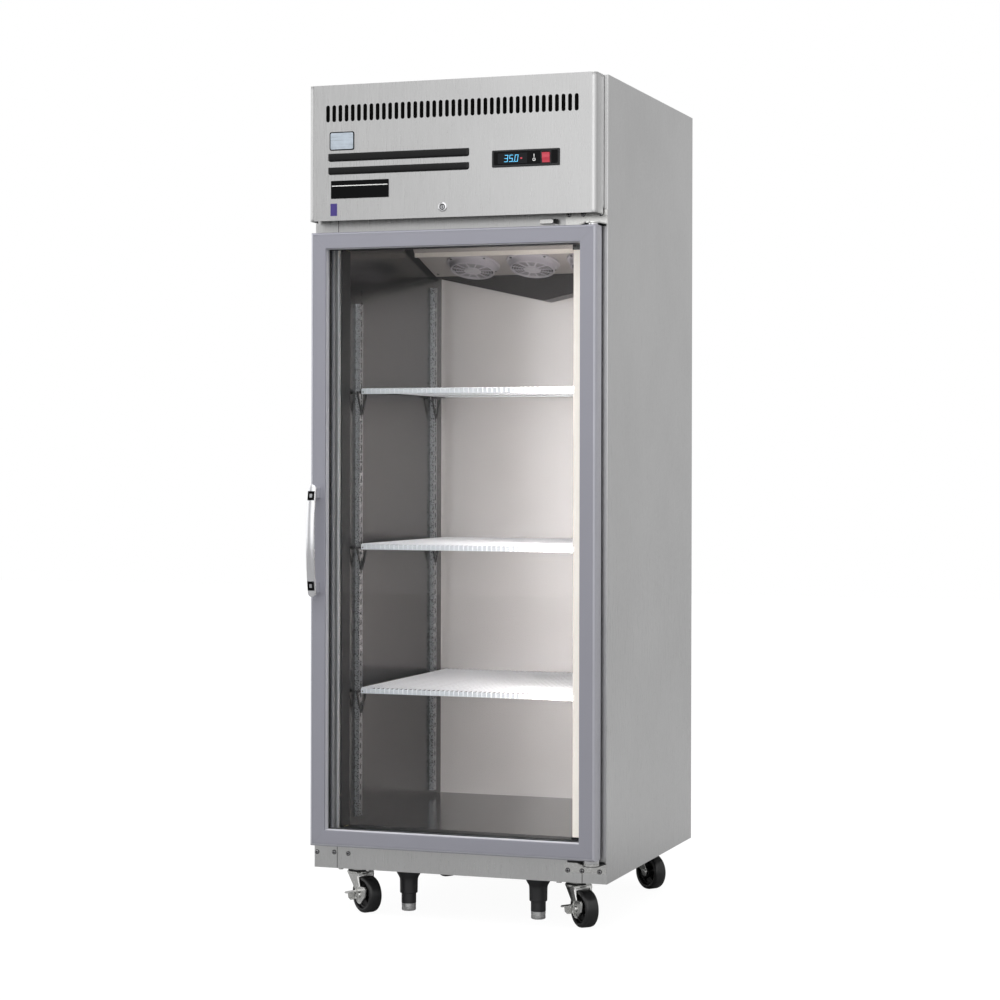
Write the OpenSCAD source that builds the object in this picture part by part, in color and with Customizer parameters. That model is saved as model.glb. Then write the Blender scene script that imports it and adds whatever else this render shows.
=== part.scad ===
// Reach-in refrigerator: a foamed cabinet on casters, one glass door hinged on its right side,
// wire shelves inside, and a machine compartment on top behind a lift-up hood.
// Millimetres, +Z up, front towards -Y. The floor is z = 0 and the origin is under the middle
// of the outer box.

/* [Cabinet] */
// Width over the two side panels
cabinet_w = 743; // [710:1:800]
// Depth from the front face to the back face
cabinet_d = 765; // [730:1:820]
// Height of the cabinet without its casters
cabinet_h = 1890; // [1870:1:1960]
// Thickness of the stainless sheets
sheet = 1.2; // [0.8:0.1:1.5]
// Thickness of each side wall, from skin to liner
side_wall = 59.5; // [57:0.5:66]
// Thickness of the back wall
back_wall = 52; // [46:1:58]
// Height of the inner floor over the base
floor_wall = 95; // [85:1:105]
// Thickness of the roof over the ceiling
roof_wall = 53; // [45:1:60]
// Height of the machine bay, from the roof deck to the cabinet top
machine_h = 270; // [260:1:290]
// Drop from the inner ceiling to the top of the mouth that the door closes
header_drop = 65; // [60:1:80]
// Gap where two sheets or strips butt
seam = 0.3; // [0.2:0.1:0.6]

/* [Mouth] */
// Depth of the turned-in edge round the mouth
return_d = 18; // [14:1:22]
// Depth from the front face to the front edge of the liners
throat_d = 75; // [65:1:90]
// Thickness of the breaker strips
breaker_t = 2; // [1.5:0.1:3]
// Depth of the bead along the breaker strips
bead_d = 11; // [6:1:14]
// Height that the bead stands out of the strip
bead_h = 1.5; // [1:0.1:2]

/* [Door] */
// Distance from the cabinet side to the door edge
door_inset = 12.5; // [10:0.5:16]
// Overlap of the door over the mouth at top and bottom
door_lap = 34.5; // [31:0.5:36]
// Thickness of the door frame
door_t = 45; // [42:1:50]
// Width of the door frame members
frame_w = 39; // [36:1:46]
// Bevel along the front edges of the frame
frame_bevel = 1.2; // [0.5:0.1:2]
// Depth from the door front to the glass
glass_setback = 23; // [20:0.5:25]
// Thickness of one pane
pane_t = 4; // [3:0.5:4]
// Gap between the panes
pane_gap = 11.5; // [9:0.5:11.5]
// Depth of the groove that holds the glass
groove_d = 10; // [8:0.5:12]
// Clearance of the glass in its groove
glass_clear = 0.5; // [0.3:0.1:1]
// Thickness of the closed gasket
gasket_t = 11.6; // [8:0.2:14]
// Width of the gasket
gasket_w = 25; // [20:1:28]
// Gap left between gasket and cabinet so that the door swings freely
seal_gap = 0.4; // [0.3:0.1:1]

/* [Door hinge] */
// Distance from the cabinet side to the door pivot
pivot_inset = 26.5; // [24:0.5:28]
// Distance from the cabinet face to the door pivot
pivot_out = 36; // [32:0.5:40]
// Radius of the hinge pins
pin_r = 5; // [4:0.5:6]
// Length of pin inside the door
pin_grip = 20; // [12:1:26]
// Outer radius of the hinge bushes
bush_r = 8; // [7.5:0.5:9]
// Running clearance on pins and shafts
run_clear = 0.05; // [0.02:0.01:0.08]
// Plate thickness of the hinge brackets
bracket_t = 3; // [2:0.5:4]
// Length of the hinge brackets along the face
bracket_w = 102; // [96:1:110]
// Height of the bottom bracket plate
bracket_h = 23; // [20:1:28]
// Gap between door and bottom bracket, filled by the lift collar
door_drop = 13.5; // [10:0.5:15]
// Gap between door and top bracket
door_head_gap = 4; // [3:0.5:6]

/* [Handle] */
// Length of the handle
handle_l = 270; // [220:5:320]
// Width of the handle bar
handle_w = 20; // [16:1:24]
// Thickness of the handle bar
handle_t = 9; // [7:0.5:12]
// Clear space behind the handle at its ends
handle_gap = 27; // [22:1:32]
// How far the middle bows out beyond the ends
handle_bow = 13; // [8:1:20]
// Height of the handle's middle over the base
handle_mid = 796; // [700:1:900]

/* [Hood] */
// Distance from the cabinet side to the hood side
hood_inset = 10; // [8:0.5:14]
// Distance of the hood front from the cabinet face
hood_out = 61; // [55:1:70]
// Gap between door and hood
hood_gap = 27; // [24:1:30]
// Step from the cabinet top down to the hood top
hood_step = 1; // [0.5:0.5:4]
// Gap between hood and cabinet face
hood_back_gap = 2.5; // [2.5:0.1:4]
// Radius of the upright hood corners
hood_corner_r = 10; // [6:1:14]
// Width of one vent slot
slot_w = 8; // [6:0.5:9]
// Height of one vent slot
slot_h = 39; // [30:1:44]
// Distance between vent slots
slot_pitch = 16.05; // [15:0.05:17]
// Number of vent slots
slot_count = 40; // [30:1:41]
// Distance from the hood top to the top of the slots
slot_drop = 49; // [30:1:55]
// Length of the trim bars
bar_l = 360; // [300:1:400]
// Height of the upper trim bar, and of the lower one
bar_h = [19.5, 17.8];
// How far bars, bezel and plates stand out of the hood
trim_out = 3; // [2:0.5:5]
// Radius of the lock face
lock_r = 11.4; // [10:0.2:13]
// Length of the lock tongue from the lock axis
tongue_l = 62; // [58:1:66]
// Width of the thermometer bezel
bezel_w = 167; // [150:1:180]
// Height of the thermometer bezel
bezel_h = 40; // [36:1:46]

/* [Shelves] */
// Heights of the three shelf tops over the base
shelf_heights = [430.5, 784.5, 1167];
// Clearance from shelf end to side liner
shelf_clear = 20; // [17:0.5:24]
// Distance from the cabinet face to the shelf front
shelf_front = 97; // [90:1:130]
// Clearance from shelf back to back liner
shelf_back_clear = 12; // [8:1:30]
// Height of the turned-down shelf front
shelf_lip = 15; // [12:1:20]
// Thickness of the shelf wires
wire_t = 3; // [2.5:0.5:4]
// Thickness of the shelf border rods
rod_t = 5; // [4:0.5:6]
// Number of wires from front to back
wire_count = 49; // [25:2:49]
// Width of a pilaster
pilaster_w = 30; // [26:1:34]
// Depth of a pilaster
pilaster_d = 10; // [8:0.5:12]
// Distance from the cabinet face to the front pilasters
pilaster_front = 125; // [112:1:160]
// Distance from the back liner to the rear pilasters
pilaster_rear = 73; // [60:1:110]
// Distance between pilaster slots
pilaster_pitch = 25; // [20:1:30]
// Height of one shelf clip
clip_h = 58; // [40:1:70]
// Half spread of the clip arms
clip_spread = 32; // [26:1:40]

/* [Evaporator] */
// Depth of the evaporator cover from the back liner
cover_d = 275; // [265:1:300]
// Clearance from the cover's ends to the side liners
cover_clear = 12; // [11:0.5:20]
// Height of the cover's front lip
lip_h = 37; // [30:1:40]
// Run of the lip towards the back
lip_run = 38; // [30:1:42]
// Run of the sloped fan face
face_run = 160; // [155:1:170]
// Drop of the sloped fan face
face_drop = 50; // [44:1:54]
// Depth of the V under the cover
pan_vee = 66; // [50:1:80]
// Distance between evaporator fans
fan_pitch = 165; // [150:1:175]
// Inner radius of the fan rings
fan_ring_r = 56; // [54:0.5:60]
// Height of the fan rings
fan_ring_h = 22; // [20:1:26]

/* [Lamp] */
// Width of the lamp across the mouth
lamp_w = 31; // [24:1:34]
// Depth of the lamp
lamp_d = 25; // [20:1:30]
// Distance from the lamp's ends to the mouth's bottom and top
lamp_end = [8, 17];

/* [Casters and legs] */
// Height of the casters, which is the height of the base over the floor
caster_h = 111; // [108:1:118]
// Diameter of the caster wheels
wheel_d = 89; // [80:1:90]
// Width of the caster wheels
wheel_w = 32; // [26:1:34]
// Distance from swivel axis to wheel axle
caster_trail = 35; // [28:0.5:38]
// Turn of each caster about its swivel axis: front left, front right, rear left, rear right
caster_turns = [-126, -135, -126, -126];
// Distance from the cabinet side to the swivel axes
caster_inset = 92; // [88:0.5:98]
// Distance from the cabinet face to the front swivel axes
caster_front = 66; // [60:1:80]
// Distance from the cabinet back to the rear swivel axes
caster_rear = 143; // [138:1:180]
// Distance from the middle to each levelling leg
leg_x = 167; // [140:1:170]
// Distance from the cabinet face to the levelling legs
leg_y = 109; // [90:1:120]
// Radius of the upper leg sleeve
leg_r = 22.5; // [20:0.5:24]
// Radius of the foot
foot_r = 17.5; // [16:0.5:18]
// Height of the foot's steel end
foot_h = 19; // [16:1:22]
// Travel of the foot when it is screwed out
foot_travel = 20; // [10:1:25]

/* [Hidden] */
$fn = 48;

// Front view of the cabinet, as seen from above: x across, y from the front face to the back.
half_w = cabinet_w / 2;
liner_x = half_w - side_wall;
mouth_x = liner_x - 1;
skin_x = half_w - sheet;
back_in = cabinet_d - back_wall;
back_skin = cabinet_d - 2 * sheet;

// Heights over the floor.
base_z = caster_h;
base_t = 1.5;
floor_z = base_z + floor_wall;
top_z = base_z + cabinet_h;
deck_z = top_z - machine_h;
ceiling_z = deck_z - roof_wall;
mouth_z = ceiling_z - header_drop;
mouth_h = mouth_z - floor_z;

// Door.
door_half = half_w - door_inset;
door_low = floor_z - door_lap;
door_top = mouth_z + door_lap;
door_h = door_top - door_low;
door_mid = (door_top + door_low) / 2;
door_back = seal_gap + gasket_t;
door_face = door_back + door_t;
sight_x = door_half - frame_w;
glass_y = door_face - glass_setback;
glass_unit_t = 2 * pane_t + pane_gap;
mitre_gap = 0.1;
gasket_side = 16;
gasket_end = 4;
collar_r = 18;
bush_l = pin_grip + 2;
pivot_x = half_w - pivot_inset;
stile_x = door_half - frame_w / 2;

// Hood.
hood_half = half_w - hood_inset;
hood_low = door_top + hood_gap;
hood_top = top_z - hood_step;
hood_h = hood_top - hood_low;
hood_pivot_y = -6.5;
knuckle_r = 3.6;
hood_pivot_z = hood_top - sheet - knuckle_r + 0.4;
hood_pin_r = 2;
ear_x = 150;
ear_w = 12;
knuckle_l = 13;
ear_gap = 0.5;
lock_x = -18.6;
lock_z = hood_low + 24;
tongue_y = -hood_out + 20;
bezel_x = 189;
bezel_z = hood_low + 132;
rocker_x = 239;
rocker_w = 19;
rocker_h = 24;
rocker_clear = 1;
rocker_tilt = 8;
rocker_y = -hood_out - trim_out + 2;

// Handle: the bar follows an arc through its two ends and its bowed middle.
handle_face = door_face + handle_gap + handle_t + handle_bow;
handle_arc_r = (handle_l * handle_l / 4 + handle_bow * handle_bow) / (2 * handle_bow);
handle_foot_h = 26;

// Middle of the outer box along y: the handle is the foremost piece, the cord gland the rearmost.
gland_out = 14;
front_y = (handle_face - cabinet_d - gland_out) / 2;

// Evaporator cover, from its front edge at the ceiling (a) over the lip (b) to the rear edge (c).
cover_t = 1.5;
cover_x = liner_x - cover_clear;
cover_a = [back_in - cover_d, ceiling_z];
cover_b = cover_a + [lip_run, -lip_h];
cover_c = cover_b + [face_run, -face_drop];
face_mid = (cover_b + cover_c) / 2;
face_angle = atan2(face_drop, face_run);
fan_spots = [-fan_pitch, 0, fan_pitch];
motor_r = 18;
coil_end = cover_x - 32;
suction_z = (cover_c[1] + 6 + ceiling_z - 4) / 2;
rotor_r = fan_ring_r - 3;

// Lines between the evaporator and the machine.
riser_x = cover_x - 14;
riser_y = back_in - 34;
riser_hole_r = 12;
drain_r = 9;
drain_y = back_in + 26;
drain_out_z = cover_c[1] - pan_vee + 11;

// Casters.
wheel_r = wheel_d / 2;
caster_spots = [
    [-half_w + caster_inset, caster_front],
    [half_w - caster_inset, caster_front],
    [-half_w + caster_inset, cabinet_d - caster_rear],
    [half_w - caster_inset, cabinet_d - caster_rear]
];
fork_inner = wheel_w / 2 + 2.5;
fork_t = 3;
axle_r = 5;
kingpin_r = 6;
race_gap = 0.3;
plate_t = 4;
crown_low = wheel_d + 2.5;
crown_top = caster_h - plate_t - 6;

// Legs.
thread_r = 8;

// Screws on the front face: x, height over the base.
kick_screws = [[-half_w + 7.5, 37], [-mouth_x - 8, 38.5], [-mouth_x + 29, 37]];
bracket_x = half_w - bracket_w - 1;
bracket_screws = [bracket_x + 8, bracket_x + 43, bracket_x + 86];
bottom_plate_z = door_low - door_drop - bracket_h;
top_plate_z = door_top + door_head_gap;
top_plate_h = 35;
screw_r = 2.4;
screw_hole_r = 2.6;
head_r = 4.5;
head_h = 2.6;
screw_l = 8;

// Machine compartment.
coil_side = 156.5;
coil_x = half_w - coil_side;
coil_y = 60;
coil_d = 56;
coil_gap = 8;
coil_h = 215;
shroud_y = coil_y + coil_d + 4;
machine_z = deck_z + sheet;
big_fan_r = 92;
big_fan_z = machine_z + coil_gap + coil_h / 2;
compressor_r = 84;
compressor_side = 206.5;
compressor_rear = 285;
compressor_at = [-half_w + compressor_side, cabinet_d - compressor_rear];
control_w = 150;
control_d = 140;
control_h = 96;
control_side = 161.5;
control_rear = 295;
control_x = half_w - control_side - control_w;
control_y = cabinet_d - control_rear - control_d;
lid_t = 7.8;
lid_lap = 3;
drier_r = 12;
drier_l = 91;

// ---- helpers ----

// Moves a piece from the cabinet's front face to the frame of the whole object.
module placed() translate([0, front_y, 0]) children();

// Box between two corners.
module block(low, high) translate(low) cube(high - low);

// The piece and its mirror image across the middle plane.
module both_sides() {
    children();
    mirror([1, 0, 0]) children();
}

// Extrudes an outline given in y and z along x, between two x values.
module along_x(x0, x1) translate([x0, 0, 0]) rotate([90, 0, 90]) linear_extrude(x1 - x0) children();

// Extrudes an outline given in x and z along y, between two y values.
module along_y(y0, y1) translate([0, y1, 0]) rotate([90, 0, 0]) linear_extrude(y1 - y0) children();

// Round bar between two points.
module rod(from, to, r) {
    span = to - from;
    length = norm(span);
    translate(from)
        rotate([0, acos(span[2] / length), atan2(span[1], span[0])])
            cylinder(h = length, r = r);
}

// Round pipe through a list of points, with a slightly wider ball at each turn.
module pipe_run(points, r) {
    for (i = [0 : len(points) - 2]) rod(points[i], points[i + 1], r);
    for (i = [1 : len(points) - 2]) translate(points[i]) sphere(r = r * 1.15);
}

// Screw with a pan head, its head towards -Y and its bearing face at y = 0.
module face_screw(x, z) {
    translate([x, 0, z]) rotate([90, 0, 0]) {
        rotate_extrude() polygon([
            [0, 0], [head_r, 0], [head_r, head_h * 0.5], [head_r * 0.6, head_h], [0, head_h]
        ]);
        translate([0, 0, -screw_l]) cylinder(h = screw_l + 0.01, r = screw_r);
    }
}

// Hole for that screw, from y0 to y1.
module face_screw_hole(x, z, y0, y1) {
    translate([x, y1, z]) rotate([90, 0, 0]) cylinder(h = y1 - y0, r = screw_hole_r);
}

// All screw holes in the front face and in the brackets on it.
module front_holes() {
    for (at = kick_screws) face_screw_hole(at[0], base_z + at[1], -5, screw_l + 1);
    for (x = bracket_screws) {
        face_screw_hole(x, bottom_plate_z + 5, -5, screw_l + 1);
        face_screw_hole(x, top_plate_z + 25, -5, screw_l + 1);
    }
}

// ---- cabinet ----

// Side panel with the stile, its turned-in edge and the back flange in one folded sheet.
module side_sheet() translate([0, 0, base_z]) linear_extrude(cabinet_h) {
    translate([skin_x, 0]) square([sheet, cabinet_d]);
    translate([mouth_x, 0]) square([half_w - mouth_x, sheet]);
    translate([mouth_x, 0]) square([sheet, return_d]);
    translate([half_w - 25, cabinet_d - sheet]) square([25, sheet]);
}

module left_side_panel() placed() color("silver") difference() {
    mirror([1, 0, 0]) side_sheet();
    front_holes();
}

module right_side_panel() placed() color("silver") difference() {
    side_sheet();
    front_holes();
}

module back_panel() placed() color("silver")
    block([-skin_x, back_skin, base_z], [skin_x, back_skin + sheet, deck_z]);

// Base sheet with the kick plate and its turned-in top edge.
module base_pan() placed() color("silver") difference() {
    union() {
        block([-skin_x, return_d + seam, base_z], [skin_x, back_skin, base_z + base_t]);
        block([-mouth_x + seam, 0, base_z], [mouth_x - seam, return_d + 1, base_z + base_t]);
        both_sides() block([mouth_x + sheet + seam, sheet + seam, base_z],
                           [skin_x, return_d + 1, base_z + base_t]);
        block([-mouth_x + seam, 0, base_z], [mouth_x - seam, sheet, floor_z]);
        block([-mouth_x + seam, 0, floor_z - sheet], [mouth_x - seam, return_d, floor_z]);
    }
    front_holes();
    translate([0, drain_y, base_z - 1]) cylinder(h = 4, r = drain_r + 1);
}

// Deck over the roof foam, with the header rail turned down in front of the foam.
module machine_deck() placed() color("gainsboro") difference() {
    union() {
        block([-skin_x, return_d + seam, deck_z], [skin_x, back_skin, deck_z + sheet]);
        block([-mouth_x + seam, 0, deck_z], [mouth_x - seam, return_d + seam, deck_z + sheet]);
        block([-mouth_x + seam, 0, mouth_z], [mouth_x - seam, sheet, deck_z]);
        block([-mouth_x + seam, 0, mouth_z], [mouth_x - seam, return_d, mouth_z + sheet]);
    }
    front_holes();
    translate([riser_x, riser_y, deck_z - 1]) cylinder(h = 4, r = riser_hole_r);
}

// Top sheet with air slots, and the two ears that carry the hood's hinge pins.
module top_cover() placed() color("silver") {
    difference() {
        union() {
            block([-skin_x, return_d + seam, top_z - sheet], [skin_x, back_skin, top_z]);
            block([-mouth_x + seam, 0, top_z - sheet], [mouth_x - seam, return_d + 1, top_z]);
            both_sides() block([mouth_x + sheet + seam, sheet + seam, top_z - sheet],
                               [skin_x, return_d + 1, top_z]);
        }
        for (i = [0 : 15], y = [cabinet_d * 0.5, cabinet_d * 0.7])
            translate([(i - 7.5) * 32, y, top_z - 3]) cube([10, 90, 6]);
    }
    for (x = [-ear_x, ear_x]) {
        block([x - ear_w / 2, hood_pivot_y, hood_pivot_z - 2.4],
              [x + ear_w / 2, return_d + 20, hood_pivot_z + 2.4]);
        block([x - ear_w / 2, return_d + 8, hood_pivot_z],
              [x + ear_w / 2, return_d + 20, top_z - sheet / 2]);
        translate([x - ear_w / 2 - knuckle_l, hood_pivot_y, hood_pivot_z])
            rotate([0, 90, 0]) cylinder(h = ear_w + 2 * knuckle_l, r = hood_pin_r);
    }
}

gland_at = [-half_w + 90, back_skin, machine_z + 60];

// Slotted sheet that closes the back of the machine compartment.
module rear_grille() placed() color("silver") difference() {
    block([-skin_x, back_skin, deck_z + sheet], [skin_x, back_skin + sheet, top_z - sheet]);
    along_y(back_skin - 1, back_skin + sheet + 1)
        for (i = [0 : 17], row = [0, 1])
            translate([(i - 6.5) * 24, machine_z + 30 + row * 110]) square([10, 80]);
    translate(gland_at + [0, -1, 0]) rotate([-90, 0, 0]) cylinder(h = sheet + 2, r = 10.2);
}

// Gland for the supply cord: outer cap and inner nut on one bored body.
module cord_gland() placed() color("#222222")
    translate(gland_at) rotate([-90, 0, 0]) difference() {
        union() {
            translate([0, 0, -12]) cylinder(h = 12, r = 14);
            translate([0, 0, -1]) cylinder(h = sheet + 2, r = 10);
            translate([0, 0, sheet]) cylinder(h = 6, r = 14);
            translate([0, 0, sheet + 6]) cylinder(h = gland_out + sheet - 6, r1 = 12, r2 = 8);
        }
        translate([0, 0, -13]) cylinder(h = gland_out + 2 * sheet + 14, r = 5.5);
    }

// Foam between skin and liners, as one moulded body.
foam_front = 12;
module insulation() placed() color("khaki") difference() {
    block([-skin_x, foam_front, base_z + base_t], [skin_x, back_skin, deck_z]);
    block([-liner_x - sheet, -1, floor_z - breaker_t - sheet],
          [liner_x + sheet, throat_d + 2, mouth_z + breaker_t + 0.2]);
    block([-liner_x - sheet, throat_d, floor_z - sheet],
          [liner_x + sheet, back_in + sheet, ceiling_z + sheet]);
    both_sides() block([mouth_x - 1, -1, base_z],
                       [mouth_x + sheet + 0.2, return_d + seam, deck_z + 1]);
    block([-mouth_x, -1, mouth_z - 1], [mouth_x, return_d + seam, mouth_z + sheet]);
    translate([riser_x, riser_y, ceiling_z]) cylinder(h = roof_wall + 1, r = riser_hole_r);
    translate([0, drain_y, base_z]) cylinder(h = drain_out_z - base_z, r = drain_r + 1);
    translate([0, drain_y, drain_out_z]) sphere(r = drain_r * 1.15 + 0.6);
    translate([0, back_in, drain_out_z]) rotate([-90, 0, 0])
        cylinder(h = drain_y - back_in, r = drain_r + 1);
}

// Flat liner sheets: two sides, back, floor, ceiling and the drop behind the header.
module inner_liner() placed() color("lightgray") {
    both_sides() block([liner_x, throat_d + seam, floor_z - sheet],
                       [liner_x + sheet, back_in - seam, ceiling_z + sheet]);
    difference() {
        block([-liner_x - sheet, back_in, floor_z - sheet],
              [liner_x + sheet, back_in + sheet, ceiling_z + sheet]);
        translate([0, back_in - 1, drain_out_z]) rotate([-90, 0, 0])
            cylinder(h = 4, r = drain_r + 0.2);
    }
    block([-liner_x + seam, throat_d + seam, floor_z - sheet],
          [liner_x - seam, back_in - seam, floor_z]);
    difference() {
        block([-liner_x + seam, throat_d + sheet + 2 * seam, ceiling_z],
              [liner_x - seam, back_in - seam, ceiling_z + sheet]);
        translate([riser_x, riser_y, ceiling_z - 1]) cylinder(h = 4, r = riser_hole_r);
    }
    block([-liner_x + seam, throat_d + seam, mouth_z + breaker_t],
          [liner_x - seam, throat_d + seam + sheet, ceiling_z + sheet]);
}

// Breaker strip outline: depth from the front along the first axis, height off the wall along the
// second. The bead stands out next to the stainless edge.
module breaker_outline() polygon([
    [return_d + seam, -bead_h], [return_d + seam + bead_d, -bead_h],
    [return_d + seam + bead_d, 0], [throat_d, 0],
    [throat_d, breaker_t], [return_d + seam, breaker_t]
]);

module breaker_strips() placed() color("#1d1f24") {
    both_sides() translate([mouth_x, 0, floor_z + seam])
        linear_extrude(mouth_h - 2 * seam) mirror([1, -1]) breaker_outline();
    for (up = [0, 1])
        translate([0, 0, up ? mouth_z : floor_z]) mirror([0, 0, 1 - up])
            along_x(-mouth_x + bead_h + seam, mouth_x - bead_h - seam) breaker_outline();
}

// Switch on the header that feels the door.
module door_switch() placed() color("whitesmoke")
    block([door_half - 152, -14, door_top + 8], [door_half - 109, 0, door_top + 20]);

// ---- shelves and their supports ----

pilaster_rows = [
    [pilaster_front, 1280],
    [back_in - pilaster_rear, cover_c[1] - floor_z - 30]
];

// Hat-shaped strip with a row of slots, standing on the side liner.
module pilaster(y, height) difference() {
    translate([liner_x, y, floor_z + 15]) linear_extrude(height - 15) polygon([
        [0, -pilaster_w / 2], [0, -pilaster_w / 2 + 5], [-pilaster_d + 1.5, -pilaster_w / 2 + 6],
        [-pilaster_d + 1.5, pilaster_w / 2 - 6], [0, pilaster_w / 2 - 5], [0, pilaster_w / 2],
        [-1.5, pilaster_w / 2], [-1.5, pilaster_w / 2 - 4], [-pilaster_d, pilaster_w / 2 - 4.6],
        [-pilaster_d, -pilaster_w / 2 + 4.6], [-1.5, -pilaster_w / 2 + 4], [-1.5, -pilaster_w / 2]
    ]);
    translate([liner_x - pilaster_d / 2, 0, 0]) rotate([90, 0, -90])
        linear_extrude(pilaster_d)
            for (z = [floor_z + 40 : pilaster_pitch : floor_z + height - 12])
                translate([-y - 5, z - 2.5]) square([10, 5]);
}

module pilasters() placed() color("silver")
    both_sides() for (row = pilaster_rows) pilaster(row[0], row[1]);

// Clip of two arms in a V with a ledge that carries the end of a shelf.
module shelf_clip(y, top) {
    face = liner_x - pilaster_d - 0.2;
    along_x(face - 3, face) polygon([
        [y - 5, top - clip_h], [y + 5, top - clip_h], [y + clip_spread, top - 8],
        [y + clip_spread, top], [y - clip_spread, top], [y - clip_spread, top - 8]
    ]);
    block([face - 16, max(y - clip_spread, shelf_front + wire_t + 1), top - 2.5],
          [face - 2, y + clip_spread, top]);
}

module shelf_clips() placed() color("#1b1b1b") both_sides()
    for (height = shelf_heights, row = pilaster_rows)
        difference() {
            shelf_clip(row[0], base_z + height - rod_t - wire_t - 0.2);
            along_x(liner_x - pilaster_d - 4, liner_x) polygon([
                [row[0] - 7, base_z + height - rod_t - wire_t - 14],
                [row[0] + 7, base_z + height - rod_t - wire_t - 14],
                [row[0], base_z + height - rod_t - wire_t - clip_h + 20]
            ]);
        }

// Wire shelf: border rods below, wires from front to back on top, turned down at the front.
module wire_shelf(height) {
    top = base_z + height;
    x = liner_x - shelf_clear;
    y0 = shelf_front;
    y1 = back_in - shelf_back_clear;
    color("#e3e7ec") {
        for (y = [y0 + wire_t, y0 + (y1 - y0) / 3, y0 + (y1 - y0) * 2 / 3, y1 - rod_t])
            block([-x, y, top - wire_t - rod_t], [x, y + rod_t, top - wire_t + 0.5]);
        for (side = [-1, 1])
            block([side * (x - rod_t / 2) - rod_t / 2, y0 + wire_t, top - wire_t - rod_t],
                  [side * (x - rod_t / 2) + rod_t / 2, y1, top - wire_t + 0.5]);
        block([-x, y0 + 0.5, top - shelf_lip], [x, y0 + wire_t + 0.5, top - shelf_lip + wire_t]);
        for (i = [0 : wire_count - 1])
            let (wx = -x + rod_t / 2 + i * (2 * x - rod_t) / (wire_count - 1)) {
                block([wx - wire_t / 2, y0, top - wire_t], [wx + wire_t / 2, y1, top]);
                block([wx - wire_t / 2, y0, top - shelf_lip + 0.5], [wx + wire_t / 2, y0 + wire_t, top]);
            }
    }
}

module shelf_bottom() placed() wire_shelf(shelf_heights[0]);

module shelf_middle() placed() wire_shelf(shelf_heights[1]);

module shelf_top() placed() wire_shelf(shelf_heights[2]);

// ---- evaporator under the ceiling ----

// Moves a piece to one fan: its z axis points up and back, square to the sloped face.
module at_fan(x) translate([x, face_mid[0], face_mid[1]]) rotate([-face_angle, 0, 0]) children();

// Bent cover: lip, sloped fan face and two ends.
module evaporator_cover() placed() color("#b7b4b2") difference() {
    union() {
        along_x(-cover_x, cover_x) polygon([
            cover_a, cover_b, cover_c, cover_c + [0, cover_t],
            cover_b + [cover_t, cover_t * 1.1], cover_a + [cover_t * 1.5, 0]
        ]);
        both_sides() along_x(cover_x - cover_t, cover_x) polygon([
            cover_a, cover_b, cover_c, [back_in - seam, cover_c[1]], [back_in - seam, ceiling_z]
        ]);
    }
    for (x = fan_spots) at_fan(x) translate([0, 0, -5]) cylinder(h = 12, r = fan_ring_r + 3.3);
}

// Pan with a V-shaped bottom that drains to the middle of the back.
module drain_pan() placed() color("#555357") {
    rim = cover_c[1] - 0.2;
    difference() {
        along_y(cover_c[0], back_in - seam) polygon([
            [-cover_x, rim], [cover_x, rim], [cover_x, rim - 4], [0, rim - 4 - pan_vee],
            [-cover_x, rim - 4]
        ]);
        along_y(cover_c[0] + cover_t, back_in - seam - cover_t) polygon([
            [-cover_x + cover_t, rim + 1], [cover_x - cover_t, rim + 1],
            [cover_x - cover_t, rim - 4 + cover_t], [0, rim - 4 - pan_vee + cover_t],
            [-cover_x + cover_t, rim - 4 + cover_t]
        ]);
        translate([0, back_in - 9, drain_out_z]) rotate([-90, 0, 0])
            cylinder(h = 12, r = drain_r + 0.2);
    }
}

// Finned block drawn as a comb seen from above, with return bends at both ends.
module finned_block(x, y0, y1, z0, z1, pitch, fin, bends) {
    translate([0, 0, z0]) linear_extrude(z1 - z0) {
        translate([-x, y0 + 8]) square([2 * x, y1 - y0 - 16]);
        for (at = [-x : pitch : x - fin]) translate([at, y0]) square([fin, y1 - y0]);
    }
    both_sides() for (i = [0 : bends - 1])
        translate([x - 0.5, (y0 + y1) / 2, z0 + (i + 0.5) * (z1 - z0) / bends])
            rotate([0, 90, 0]) intersection() {
                rotate([90, 0, 0]) rotate_extrude() translate([7, 0]) circle(r = 3.5);
                translate([-12, -12, 0]) cube([24, 24, 24]);
            }
}

module evaporator_coil() placed() color("#c9cdd0")
    finned_block(coil_end, cover_c[0] + 6, back_in - 10, cover_c[1] + 6, ceiling_z - 4, 9, 1, 2);

// Round fan ring with a mounting flange, closed at its outer end by a slotted guard.
module fan_guard() {
    hub_r = 20;
    difference() {
        union() {
            translate([0, 0, -2.6]) cylinder(h = 2.4, r = fan_ring_r + 14);
            translate([0, 0, -fan_ring_h]) cylinder(h = fan_ring_h + 6, r = fan_ring_r + 3);
        }
        translate([0, 0, -fan_ring_h - 1]) cylinder(h = fan_ring_h + 9, r = fan_ring_r);
    }
    translate([0, 0, -fan_ring_h]) linear_extrude(2) difference() {
        circle(r = fan_ring_r + 0.5);
        for (i = [0 : 23], row = [0, 1])
            rotate(i * 15 + row * 7.5) translate([hub_r + 4 + row * 16, -2]) square([12, 4]);
    }
}

module fan_guards() placed() color("white") for (x = fan_spots) at_fan(x) fan_guard();

// Small motor that stands on the guard's hub, with the bore for the rotor shaft.
module small_motor() difference() {
    translate([0, 0, -fan_ring_h + 2.1]) cylinder(h = fan_ring_h, r = motor_r);
    translate([0, 0, -6]) cylinder(h = 10, r = 2 + run_clear);
}

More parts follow.
